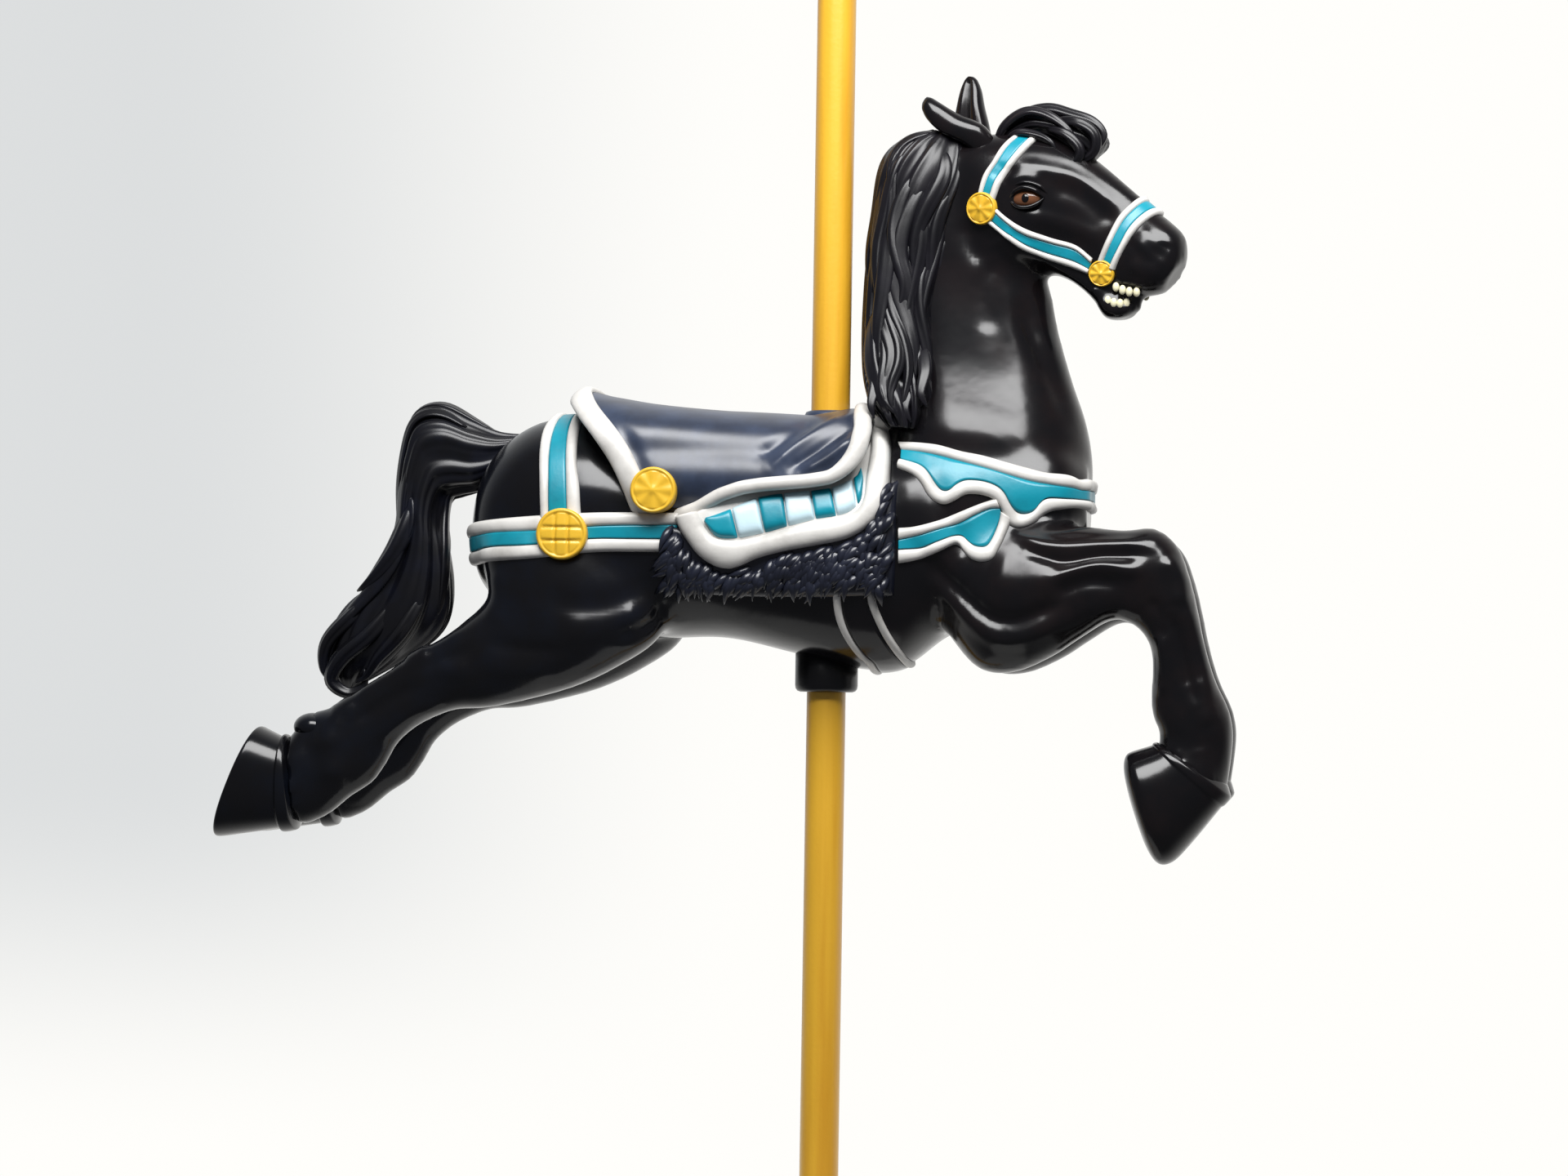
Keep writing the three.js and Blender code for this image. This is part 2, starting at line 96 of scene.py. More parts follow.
def outward(points, quads, fans):
    # Six times the volume is the sum over triangles of a . (b x c). Where it is negative, all faces turn round.
    tris = np.vstack([quads[:, :3], quads[:, [0, 2, 3]], fans])
    a, b, c = (points[tris[:, k]] for k in range(3))
    if (a * np.cross(b, c)).sum() < 0:
        quads, fans = quads[:, ::-1], fans[:, ::-1]
    return points, [quads, fans]


def mirrored(part):
    # The same on the other side: y becomes -y, and each face is read backwards.
    points, groups = part
    return points * [1, -1, 1], [g[:, ::-1] for g in groups]


def gather(parts):
    # Several parts as one: the faces' numbers move up by the points before them.
    points, groups, start = [], [], 0
    for somePoints, someGroups in parts:
        points.append(somePoints)
        groups += [g + start for g in someGroups if len(g)]
        start += len(somePoints)
    return np.vstack(points), groups


def meshFrom(name, points, groups):
    # A mesh with all its faces at once, where each group holds faces with the same number of corners.
    mesh = bpy.data.meshes.new(name)
    groups = [np.asarray(g) for g in groups if len(g)]
    points = np.asarray(points, float) * mm
    mesh.vertices.add(len(points))
    mesh.vertices.foreach_set("co", points.astype(np.float32).ravel())
    totals = np.concatenate([np.full(len(g), g.shape[1]) for g in groups])
    mesh.loops.add(int(totals.sum()))
    mesh.loops.foreach_set("vertex_index", np.concatenate([g.ravel() for g in groups]).astype(np.int32))
    mesh.polygons.add(len(totals))
    mesh.polygons.foreach_set("loop_start", np.concatenate([[0], np.cumsum(totals)[:-1]]).astype(np.int32))
    mesh.polygons.foreach_set("use_smooth", np.ones(len(totals), bool))
    mesh.update(calc_edges=True)
    mesh.validate()
    return mesh


def addObject(name, data):
    obj = bpy.data.objects.new(name, data)
    bpy.context.scene.collection.objects.link(obj)
    return obj


def piece(name, shape, material, node="horse"):
    # One piece of the dressed horse, from a mesh or from points and faces. Everything rides on the root.
    mesh = meshFrom(name, *shape) if isinstance(shape, tuple) else shape
    obj = addObject(name, mesh)
    mesh.materials.clear()
    mesh.materials.append(material)
    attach(obj, "root")
    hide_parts(node)
    print("made", name, len(mesh.polygons), "faces")


def turnWay(vectors, back=False):
    # Turns directions about the upright: x' = c x - s y, y' = s x + c y.
    angle = -headPose["turn"] if back else headPose["turn"]
    c, s = math.cos(angle), math.sin(angle)
    x, y = vectors[..., 0], vectors[..., 1]
    return np.stack([c * x - s * y, s * x + c * y, vectors[..., 2]], -1)


def turnHead(points, back=False):
    # The head is made looking straight on, then turned about an upright line through the poll.
    pivot = np.array([*headPose["pivot"], 0.0])
    return turnWay(np.asarray(points, float) - pivot, back) + pivot


# One skin over several limbs
def remeshed(part, voxel):
    # Voxel remesh melts the overlapping limbs into one closed skin of small quads.
    obj = addObject("blank", meshFrom("blank", *part))
    mod = obj.modifiers.new("skin", "REMESH")
    mod.mode, mod.voxel_size, mod.adaptivity = "VOXEL", voxel * mm, 0
    whole = bpy.data.meshes.new_from_object(obj.evaluated_get(bpy.context.evaluated_depsgraph_get()))
    old = obj.data
    bpy.data.objects.remove(obj)
    bpy.data.meshes.remove(old)
    return whole


def readValues(items, name, wide=3, kind=np.float32):
    out = np.empty(len(items) * wide, kind)
    items.foreach_get(name, out)
    return out.reshape(-1, wide)


def readPoints(mesh):
    return readValues(mesh.vertices, "co").astype(float) / mm


def readNormals(mesh):
    return readValues(mesh.vertices, "normal").astype(float)


def writePoints(mesh, points):
    mesh.vertices.foreach_set("co", (points * mm).astype(np.float32).ravel())
    mesh.update()


def web(mesh):
    # The points, the pairs of them that share an edge, and how many edges each point has.
    points, pairs = readPoints(mesh), readValues(mesh.edges, "vertices", 2, np.int32)
    return points, pairs, np.bincount(pairs.ravel(), minlength=len(points)).astype(float)


def neighbourMean(values, pairs, degree):
    # The sum over each point's neighbours, divided by how many it has.
    total = np.stack([
        np.bincount(pairs[:, 0], values[pairs[:, 1], k], len(values))
        + np.bincount(pairs[:, 1], values[pairs[:, 0], k], len(values)) for k in range(values.shape[1])], 1)
    return total / degree[:, None]


def fillCreases(mesh, rounds, hollow, proud):
    # Moves each point towards the mean of its neighbours: far where that lifts it out of a hollow,
    # and hardly at all where it would wear a bulge down.
    points, pairs, degree = web(mesh)
    for _ in range(rounds):
        pull = neighbourMean(points, pairs, degree) - points
        lifting = (pull * readNormals(mesh)).sum(1, keepdims=True) > 0
        points += pull * np.where(lifting, hollow, proud)
        writePoints(mesh, points)


def evenOut(mesh, rounds, steps=(0.5, -0.53)):
    # Taubin smoothing: a step in and a slightly longer step out, so that nothing shrinks.
    points, pairs, degree = web(mesh)
    for _ in range(rounds):
        for step in steps:
            points += step * (neighbourMean(points, pairs, degree) - points)
    writePoints(mesh, points)


def halveFaces(mesh, inside):
    # Cuts every face whose corners all lie inside into four.
    work = bmesh.new()
    work.from_mesh(mesh)
    work.verts.ensure_lookup_table()
    flags = inside(readPoints(mesh))
    edges = [e for e in work.edges if flags[e.verts[0].index] and flags[e.verts[1].index]]
    bmesh.ops.subdivide_edges(work, edges=edges, cuts=1, use_grid_fill=True)
    work.to_mesh(mesh)
    work.free()
    mesh.update()


def smoothCurve(line, count, fine=24):
    # Catmull-Rom through the points of a line, at count places spaced evenly along it.
    line = np.asarray(line, float)
    dense = readRows(line, fine * len(line))
    walked = np.concatenate([[0], np.cumsum(np.linalg.norm(np.diff(dense, axis=0), axis=1))])
    even = np.linspace(0, walked[-1], count)
    return np.stack([np.interp(even, walked, dense[:, k]) for k in range(dense.shape[1])], 1)


# A stroke: the places along its line, how many radii it reaches, where along it the fading stops, how
# sharply it fades, and the base and slope that turn the normal's sideways part into a share of the lift.
strokeLook = {"steps": 160, "reach": 3, "ends": (0.03, 0.97), "sharp": 1.8, "outer": (0.35, 1.6)}


def carve(points, normals, strokes):
    # Each stroke lifts the outer side by height * exp(-(distance / radius)^2), the distance being
    # measured in the side view to its line, and fades at its ends by sharp * sin(pi * share of its length).
    base, slope = strokeLook["outer"]
    side = np.where(points[:, 1] < 0, -1.0, 1.0)
    outer = np.clip(base + slope * normals[:, 1] * side, 0, 1)
    lift = np.zeros(len(points))
    flat = points[:, [0, 2]]
    for line, radius, height in strokes:
        curve = smoothCurve(line, strokeLook["steps"])
        margin = strokeLook["reach"] * radius
        near = np.flatnonzero(((flat > curve.min(0) - margin) & (flat < curve.max(0) + margin)).all(1))
        if not len(near):
            continue
        gap = np.linalg.norm(flat[near, None] - curve[None], axis=2)
        best = gap.argmin(1)
        share = np.clip(best / (strokeLook["steps"] - 1), *strokeLook["ends"])
        fade = np.clip(np.sin(np.pi * share) * strokeLook["sharp"], 0, 1)
        lift[near] += height * fade * np.exp(-(gap[np.arange(len(near)), best] / radius) ** 2)
    return points + normals * (lift * outer)[:, None]


bodyLook = {
    # remesh size, rounds of filling and how far it moves hollow and proud places, rounds of evening
    "voxel": 6.4, "fill": (23, 0.5, 0.02), "even": (6, 4, 5),
    # Each limb: rings, points in a ring and squareness, then its rows. A row is one cut across the limb:
    # one edge (x, z), the other edge (x, z), the sideways place y of its middle, and its half-width.
    # Rows run from the body outwards.
    "torso": ((110, 96, 2.2), [
        (-463, 1040, -470, 965, 0, 42), (-449, 1074, -456, 915, 0, 88), (-421, 1106, -420, 880, 0, 118),
        (-375, 1131, -370, 860, 0, 134), (-310, 1136, -300, 850, 0, 140), (-230, 1119, -215, 847, 0, 138),
        (-140, 1105, -130, 848, 0, 134), (-40, 1098, -40, 829, 0, 134), (50, 1104, 45, 810, 0, 132),
        (115, 1120, 102, 814, 0, 127), (180, 1135, 158, 854, 0, 122), (250, 1135, 224, 886, 0, 114),
        (310, 1115, 298, 926, 0, 98), (340, 1078, 340, 985, 0, 60)]),
    "neck": ((90, 80, 2.1), [
        (62, 1050, 340, 1010, 0, 96), (62, 1118, 344, 1070, 0, 100), (62, 1165, 336, 1126, 0, 87),
        (61, 1215, 315, 1188, 0, 73), (60, 1270, 297, 1250, 0, 63), (62, 1325, 284, 1310, 0, 56),
        (68, 1385, 258, 1375, 0, 52), (82, 1435, 225, 1425, 0, 48), (106, 1475, 205, 1470, 0, 42),
        (140, 1500, 190, 1493, 0, 26)]),
    "frontLeg": ((150, 56, 2.15), [
        (140, 1050, 132, 905, -44, 48), (190, 1020, 170, 850, -64, 56), (242, 1002, 208, 812, -80, 58),
        (300, 997, 252, 808, -92, 56), (346, 994, 300, 828, -98, 50), (390, 990, 338, 853, -100, 44),
        (430, 992, 376, 876, -100, 41), (459, 969, 403, 871, -100, 39), (474, 930, 421, 853, -100, 37),
        (484, 893, 428, 833, -100, 34), (493, 848, 429, 808, -100, 31), (507, 803, 428, 782, -100, 31),
        (524, 768, 430, 756, -100, 35), (531, 738, 438, 738, -100, 37), (529, 700, 440, 727, -100, 36),
        (522, 654, 436, 718, -100, 44)]),
    "hindLeg": ((160, 56, 2.15), [
        (-400, 1060, -215, 960, -66, 62), (-441, 990, -192, 888, -78, 70), (-438, 935, -212, 842, -88, 68),
        (-428, 902, -260, 808, -95, 62), (-440, 882, -316, 781, -99, 55), (-460, 864, -374, 764, -102, 48),
        (-480, 846, -430, 752, -104, 42), (-503, 831, -470, 749, -105, 37),
        (-532, 818, -505, 736, -105, 35), (-556, 798, -528, 722, -105, 33),
        (-585, 780, -548, 703, -105, 31), (-612, 764, -562, 678, -105, 31),
        (-634, 749, -580, 653, -105, 33), (-658, 742, -608, 634, -105, 38),
        (-674, 728, -641, 608, -105, 37), (-690, 708, -676, 594, -105, 44)]),
    "skull": ((140, 72, 2.2), [
        (150, 1488, 160, 1425, 0, 30), (185, 1504, 178, 1388, 0, 48), (228, 1509, 201, 1350, 0, 56),
        (280, 1505, 241, 1330, 0, 58), (326, 1487, 279, 1326, 0, 51), (360, 1462, 308, 1320, 0, 41),
        (392, 1435, 332, 1310, 0, 35), (422, 1409, 360, 1303, 0, 34), (448, 1388, 386, 1301, 0, 38),
        (467, 1368, 416, 1293, 0, 36), (470, 1340, 440, 1296, 0, 27)]),
    "jaw": ((60, 48, 2.15), [
        (300, 1360, 280, 1330, 0, 36), (336, 1326, 322, 1312, 0, 31), (368, 1306, 350, 1288, 0, 27),
        (386, 1297, 366, 1265, 0, 25), (402, 1288, 388, 1265, 0, 21), (414, 1283, 409, 1275, 0, 9)]),
    # Muscles, tendons and folds: the line of each in the side view, its radius and its height.
    "muscles": [
        # shoulder blade, upper arm and elbow
        ([(118, 1076), (128, 1017), (158, 955), (196, 912)], 26, 5),
        ([(150, 1064), (165, 1010), (196, 952)], 13, -4),
        ([(116, 978), (145, 948), (174, 919), (219, 881), (256, 873), (296, 887), (335, 906)], 10, -5.5),
        ([(140, 934), (174, 899), (219, 857), (253, 849), (296, 863), (335, 884)], 12, 5),
        ([(215, 925), (262, 915), (315, 930)], 30, 5),
        # forearm ridges over the knee
        ([(240, 985), (303, 968), (365, 970), (430, 974)], 8, 4),
        ([(262, 962), (320, 948), (372, 956), (430, 958)], 7, -4.5),
        ([(294, 920), (350, 943), (396, 938), (425, 935)], 9, 5),
        ([(300, 904), (350, 922), (395, 918)], 9, -4.5),
        ([(345, 880), (385, 893), (415, 880)], 14, 3),
        ([(443, 958), (462, 925), (462, 890)], 12, 5),
        ([(425, 905), (438, 880), (440, 850)], 8, -4),
        # cannon, fetlock and pastern
        ([(466, 905), (480, 862), (492, 815), (506, 768)], 10, 4.5),
        ([(448, 890), (462, 850), (474, 805), (488, 765)], 7, -4.5),
        ([(437, 862), (445, 815), (440, 775)], 8, 4),
        ([(478, 806), (492, 770), (505, 742)], 14, 4),
        ([(490, 722), (497, 690), (500, 665)], 12, 3),
        # ribs and flank
        ([(-197, 900), (-205, 872), (-226, 856), (-262, 848)], 9, -6),
        ([(-200, 940), (-206, 905)], 14, -4),
        # thigh, stifle and gaskin
        ([(-199, 925), (-248, 893), (-305, 884), (-352, 898)], 15, -3),
        ([(-215, 872), (-262, 856), (-330, 850)], 20, 5),
        ([(-420, 930), (-412, 890), (-425, 860)], 18, 4),
        ([(-335, 800), (-385, 800), (-430, 812)], 13, 3),
        ([(-320, 826), (-372, 828), (-425, 838)], 8, -3.5),
        # hock, tendon and cannon
        ([(-455, 850), (-500, 824), (-520, 810)], 9, 4),
        ([(-440, 828), (-478, 812), (-505, 802)], 7, -4.5),
        ([(-440, 800), (-470, 800), (-498, 812)], 12, 4),
        ([(-524, 806), (-566, 784), (-604, 757)], 8, 4),
        ([(-505, 782), (-552, 760), (-600, 728)], 7, -5),
        ([(-478, 758), (-525, 742), (-575, 706)], 8, 3.5),
        ([(-500, 824), (-536, 812)], 14, 5),
        ([(-598, 755), (-632, 738)], 14, 5),
        ([(-616, 738), (-628, 718), (-622, 695)], 15, 4),
        ([(-640, 668), (-606, 664)], 12, 4),
        ([(-650, 735), (-655, 700), (-640, 670)], 8, -3.5),
        # throat and the front of the neck
        ([(252, 1300), (264, 1250), (294, 1189), (318, 1128)], 11, -4),
        ([(275, 1255), (300, 1190), (326, 1125)], 12, 3),
        ([(212, 1345), (206, 1300), (214, 1240)], 12, -3),
        ([(240, 1006), (290, 1010), (335, 1014)], 16, -4)],
    "face": [
        # the ridge from the brow down the side of the nose, with the hollow under it
        ([(250, 1462), (302, 1451), (336, 1440), (366, 1419), (392, 1394)], 9, 2.6),
        ([(300, 1432), (334, 1422), (362, 1400), (382, 1378)], 13, -2.8),
        # brow bone, the hollow behind the eye and the one it sits in
        ([(245, 1436), (266, 1444), (292, 1436)], 9, 3),
        ([(232, 1440), (244, 1462)], 11, -3),
        ([(252, 1414), (272, 1410), (292, 1413)], 12, -2.5),
        # cheekbone and cheek plate
        ([(262, 1390), (296, 1389), (338, 1376), (372, 1356)], 10, 2.6),
        ([(275, 1372), (310, 1364), (350, 1348)], 11, -2),
        ([(236, 1376), (252, 1352), (262, 1370)], 22, 4),
        # the flare over the nostril, and the nostril
        ([(412, 1350), (424, 1362), (434, 1370)], 20, 2.5),
        ([(440, 1338), (449, 1348), (452, 1358)], 11, -2.5),
        ([(400, 1330), (420, 1322), (446, 1318)], 10, 2.5),
        # lips round the open mouth
        ([(380, 1316), (400, 1309), (430, 1304)], 7, 2),
        ([(362, 1290), (372, 1276), (388, 1270), (404, 1276)], 9, 3),
        # the throat behind the jaw
        ([(190, 1392), (196, 1362), (216, 1334)], 10, -4)]}


def fineAreas(points):
    # Where the skin needs smaller faces: the face, and the front legs down to the fetlock.
    x, y, z = points.T
    face = (x > 205) & (z > 1255) & ((z > 1310) | (x > 300))
    legs = (x > 150) & (z < 1005) & (np.abs(y) > 48)
    return face | legs


def buildSkin():
    # The limbs melted into one mesh, which is filled, evened, made finer where needed and carved.
    limb = {}
    for name in ("torso", "neck", "frontLeg", "hindLeg", "skull", "jaw"):
        shape, rows = bodyLook[name]
        grid = limbGrid(rows, *shape)
        limb[name] = closedTube(turnHead(grid) if name in ("skull", "jaw") else grid)
    legs = [limb["frontLeg"], limb["hindLeg"]]
    trunk = [limb["torso"], limb["neck"], *legs, *map(mirrored, legs)]
    mesh = remeshed(gather([*trunk, limb["skull"], limb["jaw"]]), bodyLook["voxel"])
    print("skin", len(mesh.polygons), "faces before refining")
    first, second, third = bodyLook["even"]
    fillCreases(mesh, *bodyLook["fill"])
    evenOut(mesh, first)
    halveFaces(mesh, fineAreas)
    evenOut(mesh, second)
    writePoints(mesh, carve(readPoints(mesh), readNormals(mesh), bodyLook["muscles"]))
    points, normals = turnHead(readPoints(mesh), back=True), turnWay(readNormals(mesh), back=True)
    writePoints(mesh, turnHead(carve(points, normals, bodyLook["face"])))
    evenOut(mesh, third)
    mesh.polygons.foreach_set("use_smooth", np.ones(len(mesh.polygons), bool))
    return mesh


# Materials
class Sock:
    # One socket of a shader, with the arithmetic of the numbers it stands for.
    def __init__(self, tree, socket):
        self.tree, self.socket = tree, socket

    def maths(self, operation, *values):
        return self.tree.node("ShaderNodeMath", {"operation": operation}, values)

    def __add__(self, other):
        return self.maths("ADD", self, other)

    def __sub__(self, other):
        return self.maths("SUBTRACT", self, other)

    def __rsub__(self, other):
        return self.maths("SUBTRACT", other, self)

    def __mul__(self, other):
        return self.maths("MULTIPLY", self, other)

    __radd__ = __add__
    __rmul__ = __mul__

    def ramp(self, low, high):
        # 0 at low, 1 at high, eased between them
        return self.tree.node("ShaderNodeMapRange", {"interpolation_type": "SMOOTHSTEP"}, {
            "Value": self, "From Min": low, "From Max": high, "To Min": 0.0, "To Max": 1.0}, "Result")

    def between(self, ends):
        # low + (high - low) * value
        low, high = ends
        return self * (high - low) + low


class Shade:
    # A node tree: a material's, or the world's.
    def __init__(self, name="", world=None):
        self.material = world or bpy.data.materials.new(name)
        self.material.use_nodes = True
        self.nodes, self.links = self.material.node_tree.nodes, self.material.node_tree.links
        self.skin = self.nodes.get("Principled BSDF") or self.nodes["Background"]

    def node(self, kind, settings=None, values=(), output=0):
        made = self.nodes.new(kind)
        for key, value in (settings or {}).items():
            setattr(made, key, value)
        pairs = values.items() if isinstance(values, dict) else enumerate(values)
        for key, value in pairs:
            self.join(value, made.inputs[key])
        return Sock(self, made.outputs[output])

    def join(self, value, target):
        if isinstance(value, Sock):
            self.links.new(value.socket, target)
        else:
            target.default_value = (*value, 1) if target.type == "RGBA" else value

    def place(self, stretch=None):
        # Object coordinates, stretched along each axis where asked
        where = self.node("ShaderNodeTexCoord", output="Object")
        if stretch:
            where = self.node("ShaderNodeVectorMath", {"operation": "MULTIPLY"}, [where, stretch])
        return where

    def noise(self, scale, detail=3.0, rough=0.5, at=None):
        values = {"Vector": at or self.place(), "Scale": scale, "Detail": detail, "Roughness": rough}
        return self.node("ShaderNodeTexNoise", {}, values, "Fac")

    def blend(self, factor, a, b):
        return self.node("ShaderNodeMix", {"data_type": "RGBA"}, {0: factor, 6: a, 7: b}, 2)

    def bump(self, height, depth):
        return self.node("ShaderNodeBump", {}, {"Height": height, "Strength": 1.0, "Distance": depth}, "Normal")

    def coat(self, **values):
        # Sets the Principled inputs: colour, roughness, normal and so on.
        for key, value in values.items():
            self.join(value, self.skin.inputs[inputNames[key]])
        return self.material


inputNames = {
    "colour": "Base Color", "roughness": "Roughness", "coat": "Coat Weight", "coatRoughness": "Coat Roughness",
    "normal": "Normal", "ior": "IOR"}
enamelLook = {
    "black": (0.0035, 0.0034, 0.0042), "warm": (0.0075, 0.0050, 0.0052), "cool": (0.0034, 0.0045, 0.0080),
    "roughness": (0.13, 0.21), "ripple": 0.0004, "ior": 1.43}
hairPaint = dict(
    enamelLook, black=(0.0035, 0.0035, 0.0048), warm=(0.009, 0.0075, 0.010), cool=(0.005, 0.006, 0.012),
    roughness=(0.24, 0.36), ior=1.42)
seatPaint = {
    "black": (0.014, 0.020, 0.038), "warm": (0.028, 0.037, 0.064), "cool": (0.030, 0.046, 0.088),
    "roughness": (0.28, 0.40), "ripple": 0.0005, "ior": 1.55}
furPaint = {
    "black": (0.0070, 0.0082, 0.0150), "warm": (0.018, 0.020, 0.034), "cool": (0.016, 0.020, 0.036),
    "roughness": (0.22, 0.36), "ripple": 0.0005, "ior": 1.5}
# The brushed paints: the fresh colour, the worn one and the two ends of the roughness.
eyePaint = ((0.13, 0.052, 0.024), (0.075, 0.028, 0.012), (0.12, 0.2))
paintLook = {
    "white": ((0.61, 0.595, 0.565), (0.40, 0.385, 0.36), (0.34, 0.46)),
    "turquoise": ((0.001, 0.235, 0.315), (0.001, 0.15, 0.205), (0.30, 0.42)),
    "pale": ((0.52, 0.68, 0.74), (0.40, 0.56, 0.63), (0.26, 0.38)),
    "gold": ((0.72, 0.43, 0.03), (0.50, 0.26, 0.012), (0.28, 0.42)),
    "cream": ((0.70, 0.66, 0.46), (0.45, 0.38, 0.20), (0.25, 0.4))}
poleLook = {
    "radius": 25.4, "length": 1829.0, "bevel": 1.2, "sides": 96, "rings": 40,
    "yellow": (0.72, 0.40, 0.028), "deep": (0.58, 0.28, 0.015), "roughness": (0.30, 0.42)}


def enamel(name, look=enamelLook):
    # Black gloss paint: bluer to the rear and browner to the front, softly rippled by hand brushing.
    s = Shade(name)
    along = s.node("ShaderNodeSeparateXYZ", {}, [s.place()], "X")
    tint = s.blend((along + s.noise(6.0) * 0.3).ramp(-0.2, 0.45), look["cool"], look["warm"])
    worn = s.noise(14.0, 5.0, 0.6).ramp(0.35, 0.75)
    colour = s.blend(worn, look["black"], tint)
    ripple = s.noise(22.0, 2.0) + s.noise(90.0, 2.0) * 0.12
    rough = s.noise(9.0, 4.0).between(look["roughness"])
    return s.coat(colour=colour, roughness=rough, normal=s.bump(ripple, look["ripple"]), ior=look["ior"])


def polePaint():
    # Two yellows in long streaks: the noise is stretched along the pole.
    s = Shade("pole_yellow")
    streak = s.noise(30.0, 4.0, at=s.place((1, 1, 0.06)))
    colour = s.blend(streak.ramp(0.35, 0.7), poleLook["yellow"], poleLook["deep"])
    rough = s.noise(40.0).between(poleLook["roughness"])
    normal = s.bump(s.noise(160.0, 3.0), 0.0002)
    return s.coat(colour=colour, roughness=rough, normal=normal, coat=0.3, coatRoughness=0.2)


def paint(name, colours, ripple=0.0004):
    # Brushed paint: a little darker and duller in broad soft patches, with a fine brushed surface.
    fresh, worn, rough = colours
    s = Shade(name)
    patch = s.noise(18.0, 5.0, 0.6)
    colour = s.blend(patch.ramp(0.42, 0.85), fresh, worn)
    normal = s.bump(s.noise(60.0, 3.0) + s.noise(320.0, 2.0) * 0.15, ripple)
    return s.coat(colour=colour, roughness=patch.between(rough), normal=normal, coat=0.05, coatRoughness=0.2)


blackEnamel = enamel("horse_black")
hairEnamel = enamel("hair_black", hairPaint)
seatEnamel = enamel("seat_navy", seatPaint)
furEnamel = enamel("fur_navy", furPaint)
poleYellow = polePaint()
white, turquoise, pale, gold, cream = (paint(k + "_paint", v) for k, v in paintLook.items())
eyeBrown = paint("eye_brown", eyePaint, 0.0001)
pupilBlack = enamel("pupil_black", dict(enamelLook, roughness=(0.05, 0.08)))
print("materials ready")


# Forms that more than one piece uses
def turned(profile, sides):
    # A profile of (radius, height) carried round an upright line: (r cos a, r sin a, height)
    angle = np.linspace(0, 2 * np.pi, sides, endpoint=False)
    r, z = np.asarray(profile, float).T
    grid = np.empty((len(r), sides, 3))
    grid[..., 0] = r[:, None] * np.cos(angle)
    grid[..., 1] = r[:, None] * np.sin(angle)
    grid[..., 2] = z[:, None]
    return grid


def ball(centre, size, rows=24, cols=32, tip=0.02):
    # An ellipsoid: centre + size * (sin v cos u, sin v sin u, cos v), open by tip at its ends
    v = np.linspace(tip, np.pi - tip, rows)[:, None]
    u = np.linspace(0, 2 * np.pi, cols, endpoint=False)[None]
    grid = np.stack([np.sin(v) * np.cos(u), np.sin(v) * np.sin(u), np.cos(v) + 0 * u], -1)
    return closedTube(grid * size + centre)


class Ground:
    # A surface to lay things on. Side-view points (x, z) are met from the near side, and others go to
    # the nearest place.
    def __init__(self, mesh):
        self.tree = BVHTree.FromPolygons(readPoints(mesh).tolist(), [list(p.vertices) for p in mesh.polygons])

    def snap(self, points):
        found = [self.tree.find_nearest(p) for p in points.reshape(-1, 3).tolist()]
        at, way = (np.array([f[k] for f in found]).reshape(points.shape) for k in (0, 1))
        return at, way

    def place(self, line, start=-400, missed=-110):
        out = []
        for p in line:
            if len(p) == 2:
                hit = self.tree.ray_cast((p[0], start, p[1]), (0, 1, 0))[0]
                p = hit if hit is not None else (p[0], missed, p[1])
            out.append(list(self.tree.find_nearest(p)[0]))
        return np.array(out)


def unit(v):
    return v / np.maximum(np.linalg.norm(v, axis=-1, keepdims=True), 1e-9)


def eased(values, rounds, axis=0):
    # Each value becomes (the one before + twice itself + the one after) / 4, and the two ends stay.
    for _ in range(rounds):
        before, after = np.roll(values, 1, axis), np.roll(values, -1, axis)
        mean = (before + 2 * values + after) / 4
        first, last = [slice(None)] * values.ndim, [slice(None)] * values.ndim
        first[axis], last[axis] = 0, -1
        mean[tuple(first)], mean[tuple(last)] = values[tuple(first)], values[tuple(last)]
        values = mean
    return values


def laidGrid(ground, top, bottom, count, across, ease=6, centred=False):
    # A grid between two edge lines, dropped on the ground: the places and the ways out from it.
    a, b = (smoothCurve(ground.place(line), count) for line in (top, bottom))
    s = np.linspace(0, 1, across)[None, :, None]
    at, way = ground.snap(a[:, None] * (1 - s) + b[:, None] * s)
    way = unit(eased(eased(way, ease, 0), 3, 1))
    at = eased(eased(at, 2, 0), 1, 1)
    if centred:
        at[-1, :, 1] = 0
        way[-1, :, 1] = 0
        way = unit(way)
    return at, way


def raised(at, way, lift, sunk=-5.0):
    # The grid lifted off the ground, closed round its back by one sunk into it.
    over = at + way * np.broadcast_to(lift, at.shape[:2])[..., None]
    under = (at + way * sunk)[:, ::-1]
    return closedTube(np.concatenate([over, under], 1))


def halfRound(across, height, foot=0.0):
    # foot + height * sqrt(1 - s^2), with s from -1 to 1 across
    s = np.linspace(-1, 1, across)[None]
    return foot + height * np.sqrt(np.clip(1 - s ** 2, 0, 1))


def flatPad(count, across, height, square=8):
    # height * (1 - |s|^square) * sqrt(1 - |t|^(2 square)), so that its edges turn down
    s, t = np.linspace(-1, 1, across)[None], np.linspace(-1, 1, count)[:, None]
    return height * (1 - np.abs(s) ** square) * (1 - np.abs(t) ** (square * 2)) ** 0.5


